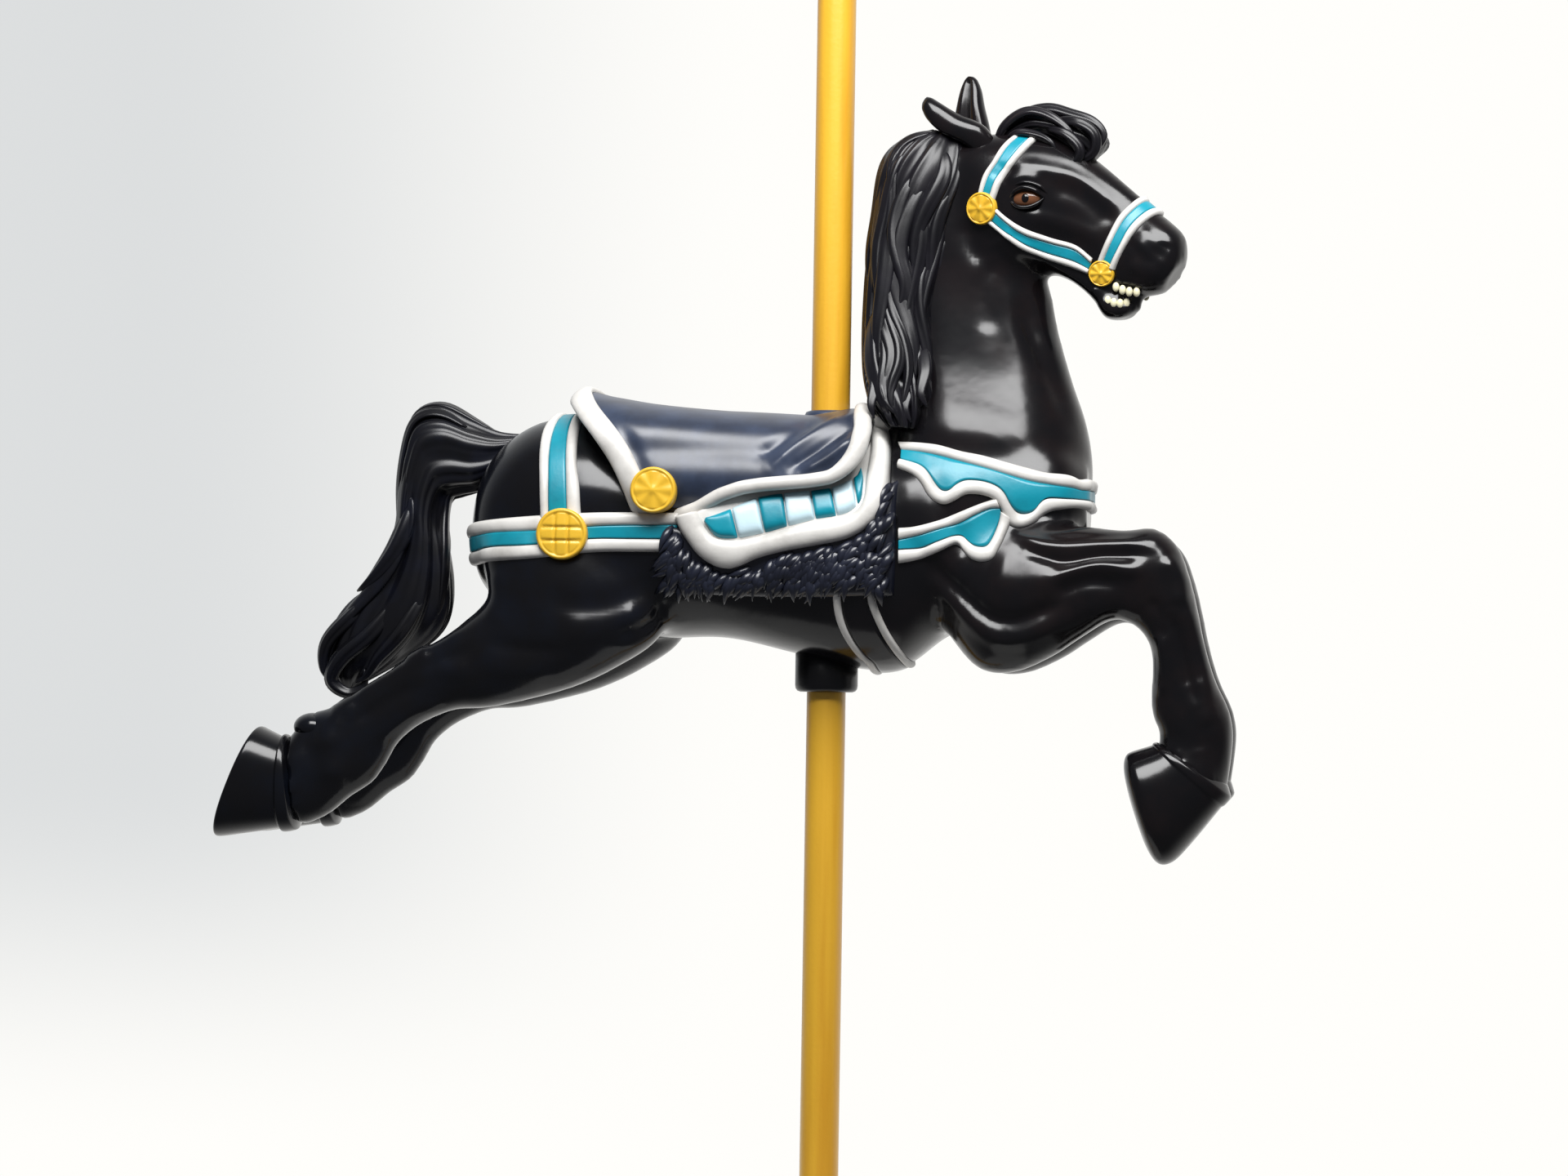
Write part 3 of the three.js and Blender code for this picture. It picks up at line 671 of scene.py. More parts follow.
def rollAlong(at, way, width, height, sides=16, lift=0.0, taper=None):
    # An oval bead carried along a line: at + across * cos(a) * width / 2 + way * sin(a) * height.
    along = unit(np.gradient(at, axis=0))
    across = unit(np.cross(way, along))
    angle = np.linspace(0, 2 * np.pi, sides, endpoint=False)
    size = np.ones(len(at)) if taper is None else taper
    w = np.broadcast_to(width, len(at)) * size
    h = np.broadcast_to(height, len(at)) * size
    ring = at[:, None] + way[:, None] * lift
    ring = ring + across[:, None] * (np.cos(angle)[None, :, None] * w[:, None, None] / 2)
    return ring + way[:, None] * (np.sin(angle)[None, :, None] * h[:, None, None])


def bothSides(part):
    return gather([part, mirrored(part)])


def closedRing(grid):
    # A grid that wraps both ways.
    rows, cols = grid.shape[:2]
    r, c = np.meshgrid(np.arange(rows), np.arange(cols), indexing="ij")
    n, m = (r + 1) % rows * cols, (c + 1) % cols
    r = r * cols
    quads = np.stack([r + c, r + m, n + m, n + c], -1).reshape(-1, 4)
    return outward(grid.reshape(-1, 3), quads, np.empty((0, 3), int))


def turnedHead(part):
    return turnHead(part[0]), part[1]


# Body
skinMesh = buildSkin()
piece("body", skinMesh, blackEnamel)
skin = Ground(skinMesh)

# Hooves: the sideways place, the cuts at coronet and sole, and a profile of places from coronet (0) to
# sole (1) with how far the cut is drawn in there. The heel is a bulb over each hind hoof.
hoofLook = {
    "square": 2.3, "sides": 64, "heel": ((-660, -105, 723), (25, 29, 18.5)),
    "front": (-100, (527, 650, 433, 722, 47), (457, 568, 395, 706, 60), [
        (-0.15, 0.75), (-0.075, 0.93), (-0.05, 0.975), (-0.02, 0.995), (0.03, 1.0), (0.075, 0.995),
        (0.10, 0.98), (0.12, 0.968), (0.15, 0.965), (0.30, 0.975), (0.50, 0.99), (0.70, 1.0), (0.84, 1.0),
        (0.94, 0.985), (1.02, 0.95), (1.09, 0.90), (1.15, 0.83), (1.20, 0.73), (1.235, 0.60), (1.26, 0.44),
        (1.27, 0.28), (1.275, 0.14)]),
    "hind": (-105, (-693, 708, -686, 591, 47), (-730, 724, -785, 577, 60), [
        (-0.15, 0.75), (-0.09, 0.95), (-0.07, 1.03), (-0.05, 1.055), (0.02, 1.07), (0.09, 1.065),
        (0.115, 1.03), (0.13, 0.985), (0.16, 0.975), (0.32, 0.98), (0.50, 0.985), (0.70, 0.99),
        (0.88, 0.995), (0.96, 0.99), (1.0, 0.975), (1.025, 0.94), (1.04, 0.87), (1.05, 0.76), (1.055, 0.6),
        (1.06, 0.42), (1.062, 0.2)])}


def hoofShape(name):
    # Each cut's edges are at middle + (edge - middle) * k, with k from the profile.
    y, coronet, sole, profile = hoofLook[name]
    t, k = readRows(profile, 4 * len(profile) - 3).T[..., None]
    a, b = np.array(coronet, float), np.array(sole, float)
    rows = a + (b - a) * t
    edges = rows[:, :4].reshape(-1, 2, 2)
    middle = edges.mean(1, keepdims=True)
    edges = middle + (edges - middle) * k[..., None]
    rows = np.column_stack([edges.reshape(-1, 4), np.full(len(t), y), rows[:, 4:] * k])
    return closedTube(limbGrid(rows, len(rows), hoofLook["sides"], hoofLook["square"]))


piece("front_hooves", bothSides(hoofShape("front")), blackEnamel)
hindHoof = gather([hoofShape("hind"), ball(*hoofLook["heel"])])
piece("hind_hooves", bothSides(hindHoof), blackEnamel)


# Hair
def onLimb(grid, place, angle):
    # Reads a limb's grid at any place (0 to 1 along it) and angle, between its points.
    count, sides = grid.shape[:2]
    i = np.clip(np.asarray(place) * (count - 1), 0, count - 1.001)
    j = (np.asarray(angle) / (2 * np.pi)) % 1 * sides
    i0, j0 = i.astype(int), j.astype(int) % sides
    fi, fj = (i - i0)[..., None], (j - np.floor(j))[..., None]
    j1 = (j0 + 1) % sides
    low = grid[i0, j0] * (1 - fj) + grid[i0, j1] * fj
    high = grid[i0 + 1, j0] * (1 - fj) + grid[i0 + 1, j1] * fj
    return low * (1 - fi) + high * fi


def limbWay(grid, place, angle, step=0.01, turn=0.05):
    # The way out of the limb: the cross product of its two directions.
    ahead, behind = (onLimb(grid, np.clip(place + s, 0, 1), angle) for s in (step, -step))
    around = onLimb(grid, place, angle + turn) - onLimb(grid, place, angle - turn)
    return unit(np.cross(around, ahead - behind))


def hairLock(path, way, width, thick, flutes=3, depth=0.22, sides=22, point=0.35):
    # An oval fluted rope that swells from nothing and thins to a tip: its size is
    # sin(pi t^0.8)^0.5 * (1 - point t), and its ring 1 - depth * |cos(flutes a / 2 + 1.2 sin 3t)|^3.
    t = np.linspace(0, 1, len(path))
    along = unit(np.gradient(path, axis=0))
    side = unit(np.cross(way, along))
    out = unit(np.cross(along, side))
    size = np.clip(np.sin(np.pi * t ** 0.8), 0.02, 1) ** 0.5 * (1 - point * t)
    angle = np.linspace(0, 2 * np.pi, sides, endpoint=False)
    ripple = 1 - depth * np.abs(np.cos(flutes * angle[None] / 2 + 1.2 * np.sin(3 * t[:, None]))) ** 3
    w = (size * width / 2)[:, None] * ripple * np.cos(angle)[None]
    h = (size * thick / 2)[:, None] * ripple * np.sin(angle)[None]
    return path[:, None] + side[:, None] * w[..., None] + out[:, None] * h[..., None]


def fluted(count, depth, wander, waves, lean=0.0):
    # Rounded locks with sharp valleys: 1 + 0.3 depth - depth * |cos(count a / 2 + shift)|^5, less a third
    # of that depth for finer ones. The shift sways along the limb.
    def swell(angle, place):
        shift = wander * np.sin(waves * place + 0.7) + lean * place
        fine = np.abs(np.cos(count * 1.5 * angle + 2 * shift)) ** 4 * depth * 0.3
        return 1 + depth * 0.3 - depth * np.abs(np.cos(count * angle / 2 + shift)) ** 5 - fine
    return swell


# The ranges that each lock's values are drawn from, how much of its limb it spans, and how far it stands out
lockLook = {
    "steps": 40, "span": 0.42, "lift": 0.3, "sunk": 2, "sway": (0.08, 0.16), "length": (0.8, 1.15),
    "turn": (0.7, 1.3), "waves": (0.9, 1.3), "begin": (0, 6)}


def locksOn(grid, starts, drift, look, seed):
    # Ropes of hair laid along a limb, each from its own start (place, angle). The angle goes on by
    # drift * turn * t + sway * sin(2 pi waves t + begin).
    dice = np.random.default_rng(seed)
    t = np.linspace(0, 1, lockLook["steps"])
    out = []
    for place0, angle0 in starts:
        drawn = (dice.uniform(*lockLook[k]) for k in ("sway", "length", "turn", "waves", "begin"))
        sway, length, turn, waves, begin = drawn
        width, thick = (dice.uniform(*look[k]) for k in ("width", "thick"))
        place = np.clip(place0 + lockLook["span"] * length * t, 0, 0.995)
        angle = angle0 + drift * turn * t + sway * np.sin(2 * np.pi * t * waves + begin)
        way = limbWay(grid, place, angle)
        rise = thick * lockLook["lift"] * np.sin(np.pi * t * 0.9)[:, None] - lockLook["sunk"]
        path = eased(onLimb(grid, place, angle) + way * rise, 3)
        out.append(closedTube(hairLock(path, way, width, thick, flutes=dice.integers(3, 5))))
    return out


def hairMass(look):
    # The fluted mass of hair along its rows, with locks laid over it.
    base = limbGrid(look["rows"], *look["fine"], look["square"], grow=-3, swell=fluted(*look["flutes"]))
    smooth = limbGrid(look["rows"], *look["coarse"], look["square"], grow=-5)
    dice = np.random.default_rng(look["seed"])
    parts = [closedTube(base)]
    for count, places, angles, drift, seed in look["locks"]:
        starts = [(dice.uniform(*places), dice.uniform(*angles)) for _ in range(count)]
        parts += locksOn(smooth, starts, drift, look, seed)
    return parts


# For mane and tail: how many locks, the places and angles they start in, their drift and their seed; the
# flutes' number, depth, wander, waves and lean; and the rings and points of the fine and coarse grids.
maneLook = {
    "locks": [(32, (0.0, 0.62), (3.5, 6.1), -0.35, 21), (16, (0.0, 0.6), (0.3, 2.7), 0.35, 22)],
    "width": (20, 30), "thick": (13, 20), "flutes": (13, 0.085, 1.4, 7.0, 2.0), "square": 2.7, "seed": 11,
    "fine": (200, 168), "coarse": (90, 90),
    "rows": [
        (126, 1516, 188, 1492, 0, 34), (92, 1504, 196, 1442, 0, 52), (66, 1469, 190, 1402, 0, 60),
        (56, 1402, 172, 1366, 0, 62), (44, 1345, 156, 1318, 0, 66), (40, 1280, 148, 1265, 0, 72),
        (40, 1225, 147, 1215, 0, 84), (44, 1182, 148, 1172, 0, 98), (54, 1150, 142, 1140, 0, 108),
        (76, 1122, 130, 1118, 0, 108)],
    # where the lowest locks end (x, z), and how far each tip curls forward
    "tips": [(66, 1130, 8), (88, 1120, 12), (110, 1126, 14), (130, 1146, 14)]}


def maneShape():
    # The mass, and tips that come out over its lower edge on both sides
    parts = hairMass(maneLook)
    for x, z, reach in maneLook["tips"]:
        for side in (-1, 1):
            path = smoothCurve([
                (x - 2, side * 64, z + 82), (x + 2, side * 88, z + 46), (x - 1, side * 101, z + 18),
                (x + reach * 0.5, side * 102, z)], 44)
            way = np.tile([0.05, side, 0.1], (len(path), 1))
            parts.append(closedTube(hairLock(path, unit(way), 21, 12)))
    return gather(parts)


tailLook = {
    "locks": [(15, (0.05, 0.55), (0, 2 * np.pi), 0.5, 31)],
    "width": (22, 34), "thick": (13, 20), "flutes": (6, 0.15, 1.5, 6.0, 3.0), "square": 2.15, "seed": 5,
    "fine": (220, 120), "coarse": (110, 80),
    "rows": [
        (-405, 1116, -425, 1070, 0, 20), (-440, 1119, -450, 1050, 0, 28), (-478, 1134, -469, 1037, 0, 36),
        (-520, 1152, -492, 1032, 0, 42), (-556, 1140, -507, 1026, 0, 44), (-570, 1095, -513, 1008, 0, 45),
        (-576, 1045, -512, 985, 0, 46), (-577, 995, -505, 955, 0, 48), (-592, 953, -498, 915, 0, 50),
        (-620, 910, -499, 876, 0, 52), (-654, 862, -518, 845, 0, 50), (-672, 815, -560, 815, 0, 42),
        (-668, 788, -602, 790, 0, 30), (-652, 770, -628, 776, 0, 12)],
    # the curls it ends in: their lines, width and thickness
    "curls": [
        ([(-560, -30, 900), (-600, -40, 850), (-640, -42, 815), (-655, -36, 785), (-635, -30, 768),
          (-612, -30, 778), (-612, -32, 800)], 30, 26),
        ([(-590, -20, 905), (-630, -34, 870), (-662, -36, 835), (-668, -30, 800), (-652, -26, 778)], 26, 22),
        ([(-530, -38, 900), (-560, -46, 850), (-590, -46, 815), (-606, -38, 792), (-622, -34, 782)], 26, 22),
        ([(-600, 10, 910), (-640, 20, 880), (-668, 26, 838), (-672, 24, 800), (-650, 20, 776)], 28, 24),
        ([(-545, 30, 900), (-580, 42, 850), (-615, 42, 815), (-640, 34, 785), (-620, 26, 770)], 30, 26),
        ([(-542, -12, 1050), (-552, -32, 1004), (-570, -42, 960), (-593, -42, 928), (-612, -36, 910),
          (-624, -28, 903)], 34, 28),
        ([(-542, 12, 1048), (-554, 32, 998), (-572, 42, 954), (-595, 40, 925), (-614, 34, 908),
          (-626, 24, 902)], 34, 28)]}


def tailShape():
    parts = hairMass(tailLook)
    for points, width, thick in tailLook["curls"]:
        path = smoothCurve(points, 60)
        way = np.tile([0.0, -1.0 if points[0][1] < 0 else 1.0, 0.1], (len(path), 1))
        parts.append(closedTube(hairLock(path, unit(way), width, thick, flutes=4, sides=26)))
    return gather(parts)


forelockLook = {
    "rows": [
        (212, 1500, 222, 1484, 0, 16), (232, 1526, 242, 1494, 0, 26), (264, 1541, 266, 1500, 0, 31),
        (296, 1535, 292, 1494, 0, 31), (324, 1525, 310, 1480, 0, 29), (352, 1518, 324, 1468, 0, 26),
        (366, 1500, 340, 1465, 0, 20), (360, 1484, 350, 1474, 0, 8)],
    "curls": [
        ([(214, -8, 1494), (232, -20, 1520), (262, -26, 1536), (292, -26, 1530), (318, -26, 1512),
          (330, -24, 1492)], 22, 18),
        ([(224, 4, 1504), (250, -2, 1534), (284, -6, 1542), (316, -8, 1534), (346, -10, 1524),
          (362, -10, 1506), (354, -12, 1486)], 24, 20),
        ([(218, 14, 1500), (244, 20, 1530), (280, 22, 1538), (314, 20, 1530), (342, 18, 1516),
          (358, 14, 1498), (346, 10, 1480)], 24, 20),
        ([(290, -22, 1516), (316, -28, 1506), (334, -28, 1486), (328, -26, 1470), (312, -24, 1474),
          (308, -24, 1488)], 19, 16),
        ([(300, -16, 1528), (332, -24, 1520), (352, -24, 1504), (352, -22, 1484), (336, -20, 1474),
          (322, -18, 1484)], 20, 18),
        ([(236, -24, 1504), (252, -30, 1510), (276, -32, 1506), (296, -30, 1496), (304, -28, 1482)], 17, 13)]}


def forelockShape():
    base = limbGrid(forelockLook["rows"], 130, 90, grow=-5, swell=fluted(7, 0.13, 1.4, 6.0, 2.5))
    parts = [closedTube(base)]
    for points, width, thick in forelockLook["curls"]:
        path = smoothCurve(points, 50) - [0, 0, 5.0]
        # the way out is the way along, turned a quarter in the side view
        way = unit(np.gradient(path, axis=0)) @ np.array([[0, 0, 1.0], [0, 1, 0], [-1.0, 0, 0]])
        parts.append(closedTube(hairLock(path, way, width, thick, flutes=4, sides=24, point=0.15)))
    return turnedHead(gather(parts))


piece("mane", maneShape(), hairEnamel)
piece("tail", tailShape(), hairEnamel)
piece("forelock", forelockShape(), hairEnamel)

# Ears: the angle they open at, how deep the hollow is, and their rows.
earLook = {
    "near": (math.pi, 0.5, [
        (224, 1490, 200, 1474, -24, 12), (206, 1516, 176, 1488, -30, 17), (172, 1532, 147, 1503, -34, 16),
        (151, 1545, 130, 1520, -37, 14), (138, 1553, 124, 1534, -38, 10), (131, 1555, 124, 1545, -38, 4.5)]),
    "far": (math.pi * 1.62, 0.8, [
        (144, 1486, 204, 1484, 26, 15), (145, 1528, 195, 1522, 31, 18), (149, 1556, 187, 1550, 33, 17),
        (153, 1575, 182, 1572, 35, 13), (158, 1587, 176, 1586, 36, 8), (163, 1592, 171, 1591, 36, 3.5)])}


def earShape(opening, hollow, rows):
    # A cone with a groove down its open side: 1 - hollow * exp(-(turn / 0.62)^2), fading at both ends
    def cup(angle, place):
        turn = np.angle(np.exp(1j * (angle - opening)))
        fade = np.clip(np.sin(np.pi * np.clip(place * 1.05, 0, 1)) * 1.5, 0, 1)
        return 1 - hollow * np.exp(-(turn / 0.62) ** 2) * fade
    return turnedHead(closedTube(limbGrid(rows, 60, 48, 2.1, swell=cup)))


for name, values in earLook.items():
    piece(name + "_ear", earShape(*values), blackEnamel)

# Harness: every strap is four edge lines, from its upper edge to its lower one. Points are (x, z) in the
# side view, or (x, y, z) where the strap goes over the top or under the belly.
strapLook = {
    "breast": {"count": 150, "lines": [(
        [(100, 1102), (147, 1098), (181, 1089), (211, 1083), (239, 1075), (266, 1068), (292, 1062),
         (318, 1060), (338, -75, 1058), (352, -40, 1058), (358, 0, 1058)],
        [(104, 1089), (147, 1083), (181, 1074), (216, 1065), (247, 1056), (275, 1049), (303, 1045),
         (322, 1043), (342, -75, 1042), (356, -40, 1042), (361, 0, 1042)],
        [(104, 1077), (120, 1073), (133, 1068), (142, 1059), (150, 1047), (159, 1038), (169, 1038),
         (178, 1046), (190, 1051), (211, 1050), (229, 1044), (239, 1035), (246, 1022), (254, 1012),
         (265, 1010), (275, 1014), (284, 1026), (294, 1031), (318, 1031), (341, -76, 1030),
         (355, -40, 1030), (361, 0, 1030)],
        [(100, 1067), (113, 1062), (124, 1056), (133, 1046), (141, 1033), (150, 1024), (163, 1020),
         (178, 1026), (190, 1033), (208, 1033), (224, 1028), (233, 1018), (240, 1004), (247, 994),
         (261, 992), (276, 998), (288, 1008), (299, 1014), (318, 1018), (340, -76, 1017), (353, -40, 1017),
         (359, 0, 1017)])]},
    "shoulder": {"count": 90, "lines": [(
        [(106, 989), (127, 991), (153, 998), (182, 1010), (208, 1021), (228, 1028)],
        [(106, 973), (134, 980), (159, 988), (183, 996), (202, 1006), (220, 1014), (233, 1015)],
        [(106, 962), (134, 965), (153, 972), (174, 980), (187, 981), (196, 973), (204, 967), (217, 966),
         (224, 975), (231, 995), (234, 1012)],
        [(106, 944), (134, 950), (160, 961), (179, 969), (190, 958), (200, 950), (213, 947), (226, 951),
         (234, 965), (242, 984), (248, 1000)])]},
    "hip": {"count": 110, "lines": [(
        [(-178, 1005), (-240, 1005), (-294, 1004), (-359, 1000), (-415, 996), (-452, -80, 992),
         (-470, -40, 990), (-476, 0, 989)],
        [(-178, 989), (-240, 988), (-290, 986), (-363, 979), (-415, 977), (-452, -80, 974),
         (-472, -40, 972), (-478, 0, 971)],
        [(-178, 972), (-240, 972), (-290, 971), (-363, 962), (-415, 960), (-450, -80, 957),
         (-470, -40, 955), (-477, 0, 954)],
        [(-178, 955), (-240, 955), (-291, 953), (-358, 945), (-415, 941), (-448, -80, 938),
         (-467, -40, 936), (-473, 0, 935)]), (
        [(-356, 990), (-357, 1011), (-360, 1047), (-364, 1080), (-366, 1108), (-364, -45, 1134),
         (-363, 0, 1142)],
        [(-344, 990), (-345, 1011), (-347, 1047), (-350, 1080), (-351, 1108), (-350, -45, 1135),
         (-349, 0, 1142)],
        [(-321, 990), (-322, 1011), (-325, 1047), (-329, 1080), (-332, 1108), (-334, -45, 1136),
         (-334, 0, 1142)],
        [(-302, 990), (-304, 1011), (-307, 1039), (-313, 1069), (-317, 1104), (-320, -45, 1136),
         (-321, 0, 1142)])]},
    "girth": {"count": 80, "field": 3.5, "edge": 6.0, "lines": [(
        [(22, 920), (24, 881), (33, 853), (49, 828), (58, -55, 818), (62, 0, 812)],
        [(33, 920), (35, 881), (44, 853), (60, 828), (69, -55, 818), (73, 0, 812)],
        [(66, 918), (67, 894), (79, 862), (95, 832), (103, -50, 818), (107, 0, 813)],
        [(77, 918), (78, 894), (90, 862), (107, 832), (114, -50, 819), (118, 0, 814)])]},
    "bridle": {"count": 80, "field": 3.2, "edge": 5.5, "across": 7, "lines": [(
        [(254, -28, 1517), (237, 1488), (225, 1466), (213, 1445), (205, 1410)],
        [(262, -28, 1516), (245, 1487), (233, 1465), (221, 1444), (211, 1410)],
        [(275, -28, 1513), (259, 1484), (245, 1463), (231, 1443), (220, 1410)],
        [(284, -28, 1511), (269, 1482), (255, 1462), (241, 1441), (229, 1410)]), (
        [(222, 1415), (244, 1394), (269, 1378), (302, 1366), (332, 1357), (354, 1340)],
        [(222, 1408), (244, 1387), (269, 1370), (302, 1359), (332, 1350), (352, 1334)],
        [(221, 1394), (243, 1375), (269, 1358), (298, 1347), (329, 1337), (349, 1327)],
        [(220, 1386), (242, 1368), (269, 1350), (296, 1339), (327, 1328), (347, 1320)]), (
        [(360, 1334), (373, 1363), (387, 1391), (402, 1410), (414, 0, 1424)],
        [(367, 1330), (380, 1358), (394, 1385), (409, 1404), (422, 0, 1417)],
        [(376, 1328), (389, 1352), (403, 1378), (419, 1397), (432, 0, 1407)],
        [(384, 1324), (396, 1348), (411, 1372), (428, 1391), (440, 0, 1399)])]}}


def threeBands(ground, lines, count, field=4.5, edge=7.5, across=9, foot=1.5):
    # Two half-round edges with a flat field between them. A strap that ends at y = 0 meets its mirror image.
    a, b, c, d = lines
    centred = a[-1][1] == 0
    rolls = []
    for one, two in ((a, b), (c, d)):
        at, way = laidGrid(ground, one, two, count, across, centred=centred)
        rolls.append(raised(at, way, halfRound(across, edge - foot, foot)))
    at, way = laidGrid(ground, b, c, count, across, centred=centred)
    return gather(rolls), raised(at, way, np.full((count, across), field))


def straps(kind, ground):
    # The rolled edges of one kind of strap, and its fields, on both sides
    look = dict(strapLook[kind])
    bands = [threeBands(ground, lines, **look) for lines in look.pop("lines")]
    return [bothSides(gather([band[k] for band in bands])) for k in (0, 1)]


for kind, field, material, slotName in (
        ("breast", "breast_field", turquoise, "strap_turquoise"),
        ("shoulder", "shoulder_field", turquoise, "strap_turquoise"),
        ("hip", "hip_fields", turquoise, "strap_turquoise"), ("girth", "girth", blackEnamel, "horse_enamel")):
    edges, fields = straps(kind, skin)
    piece(kind + "_edges", edges, white)
    piece(field, fields, material)

# The head turned back to look straight on: what belongs to it is laid there and turned with it.
straightMesh = skinMesh.copy()
writePoints(straightMesh, turnHead(readPoints(skinMesh), back=True))
face = Ground(straightMesh)
edges, fields = straps("bridle", face)
piece("bridle_edges", turnedHead(edges), white)
piece("bridle_fields", turnedHead(fields), turquoise)

eyeLook = {
    "place": (271, 1416.5), "spread": 12, "size": (20, 9, 11.5), "sunk": 4.0, "pupil": (6, 3, 6), "out": 3.0,
    # lines of the lids, measured from the eye's place: their points, width and height
    "lids": [
        ([(-23, 1, -2), (-13, -4, 9), (0, -6, 13), (14, -4, 9), (24, 2, 0)], 6, 4.5),
        ([(-27, 3, 5), (-14, -1, 17), (2, -2, 20), (18, 0, 15), (28, 4, 5)], 5, 3),
        ([(-23, 1, -2), (-11, -4, -10), (1, -5, -12.5), (14, -3, -9), (24, 2, 0)], 5.5, 4)]}


def onSkin(ground, x, z, spread):
    # The place met in the side view, and the way out averaged over a ring round it.
    angle = np.linspace(0, 2 * np.pi, 8, endpoint=False)
    ring = [(x, z)] + list(zip(x + spread * np.cos(angle), z + spread * np.sin(angle)))
    at, way = ground.snap(ground.place(ring)[None])
    return at[0, 0], unit(way[0].mean(0))


def lidRoll(points, width, height):
    # A bead along the lid that thins at both corners.
    at = smoothCurve(points, 40)
    way = np.tile([0.0, -1.0, 0.0], (len(at), 1))
    taper = np.clip(np.sin(np.linspace(0.12, np.pi - 0.12, len(at))) * 1.6, 0.25, 1)
    return closedTube(rollAlong(at, way, width, height, taper=taper))


def eyeParts(ground):
    look = eyeLook
    at, way = onSkin(ground, *look["place"], look["spread"])
    eye = ball(at - way * look["sunk"], look["size"])
    pupil = ball(at + way * look["out"], look["pupil"], 14, 20)
    lids = gather([lidRoll(at + np.array(line, float), width, height) for line, width, height in look["lids"]])
    return [turnedHead(bothSides(part)) for part in (eye, pupil, lids)]


eyes, pupils, lids = eyeParts(face)
piece("eyes", eyes, eyeBrown)
piece("pupils", pupils, pupilBlack)
piece("eyelids", lids, blackEnamel)

furLook = {
    "lift": 9.0, "near": 760, "far": 420, "length": (32, 48), "width": (10, 15), "lean": -0.6,
    "thickness": [0.3, 0.72, 0.93, 1.0, 0.97, 0.88, 0.72, 0.52, 0.29, 0.05],  # from root to tip
    "lowest": 896, "rearmost": -199,  # tips stay inside these
    "top": [
        (-197, 992), (-150, 985), (-100, 985), (0, 1000), (104, 1052)],
    "hem": [
        (-176, 902), (-100, 900), (0, 899), (100, 902)],
    # the highest place a tuft may start: under the flap's lower edge
    "limit": [
        (-215, 993), (-180, 990), (-172, 980), (-164, 966), (-148, 950), (-101, 936), (-36, 956), (45, 973),
        (74, 993), (89, 1020), (96, 1052), (120, 1052)]}


def tufts(at, way, amount, look, seed):
    # Pointed leaves of fur, hung over one another like shingles: each is an oval rope bent outwards.
    dice = np.random.default_rng(seed)
    count, across = at.shape[:2]
    i = dice.uniform(0, count - 1.01, amount)
    j = dice.uniform(0, 1, amount) * (across - 1.01)
    lean = look["lean"] + dice.normal(0, 0.26, amount)
    length = dice.uniform(*look["length"], amount)
    width = dice.uniform(*look["width"], amount)
    bend = dice.uniform(-0.5, 0.5, amount)
    a, b = i.astype(int), j.astype(int)
    base = at[a, b] * (1 - (j - b))[:, None] + at[a, np.minimum(b + 1, across - 1)] * (j - b)[:, None]
    x, z = base[:, 0], base[:, 2]
    limit = np.array(look["limit"], float)
    fits = (z < np.interp(x, limit[:, 0], limit[:, 1])) & (z - 0.8 * length > look["lowest"])
    fits &= x - 0.4 * length > look["rearmost"]
    base, out, lean = base[fits], way[a, b][fits], lean[fits]
    length, width, bend = (v[fits][:, None] for v in (length, width, bend))
    down = np.stack([lean, 0 * lean, 0 * lean - 1], 1)
    down = unit(down - out * (down * out).sum(1, keepdims=True))
    side = unit(np.cross(out, down))
    size = np.array(look["thickness"])
    t = np.linspace(0, 1, len(size))
    rise = look["lift"] - 5 + 9 * np.sin(np.pi * np.clip(t * 0.88, 0, 1)) ** 0.8
    line = base[:, None] + down[:, None] * (length * t)[..., None]
    line = line + side[:, None] * (bend * length * t ** 2 * 0.7)[..., None] + out[:, None] * rise[None, :, None]
    angle = np.linspace(0, 2 * np.pi, 8, endpoint=False)
    half = width[:, None] * size[None, :, None]
    ring = line[:, :, None] + side[:, None, None] * (half * np.cos(angle))[..., None] * 0.5
    ring = ring + out[:, None, None] * (0.5 * half * np.sin(angle))[..., None]
    return gather([closedTube(one) for one in ring])


at, way = laidGrid(skin, furLook["top"], furLook["hem"], 70, 32, ease=10)
furBase = raised(at, way, flatPad(*at.shape[:2], furLook["lift"], 10))
nearTufts = tufts(at, way, furLook["near"], furLook, 3)
farTufts = mirrored(tufts(at, way, furLook["far"], dict(furLook, length=(36, 54), width=(14, 19)), 4))
piece("fur", gather([furBase, mirrored(furBase), nearTufts, farTufts]), furEnamel)

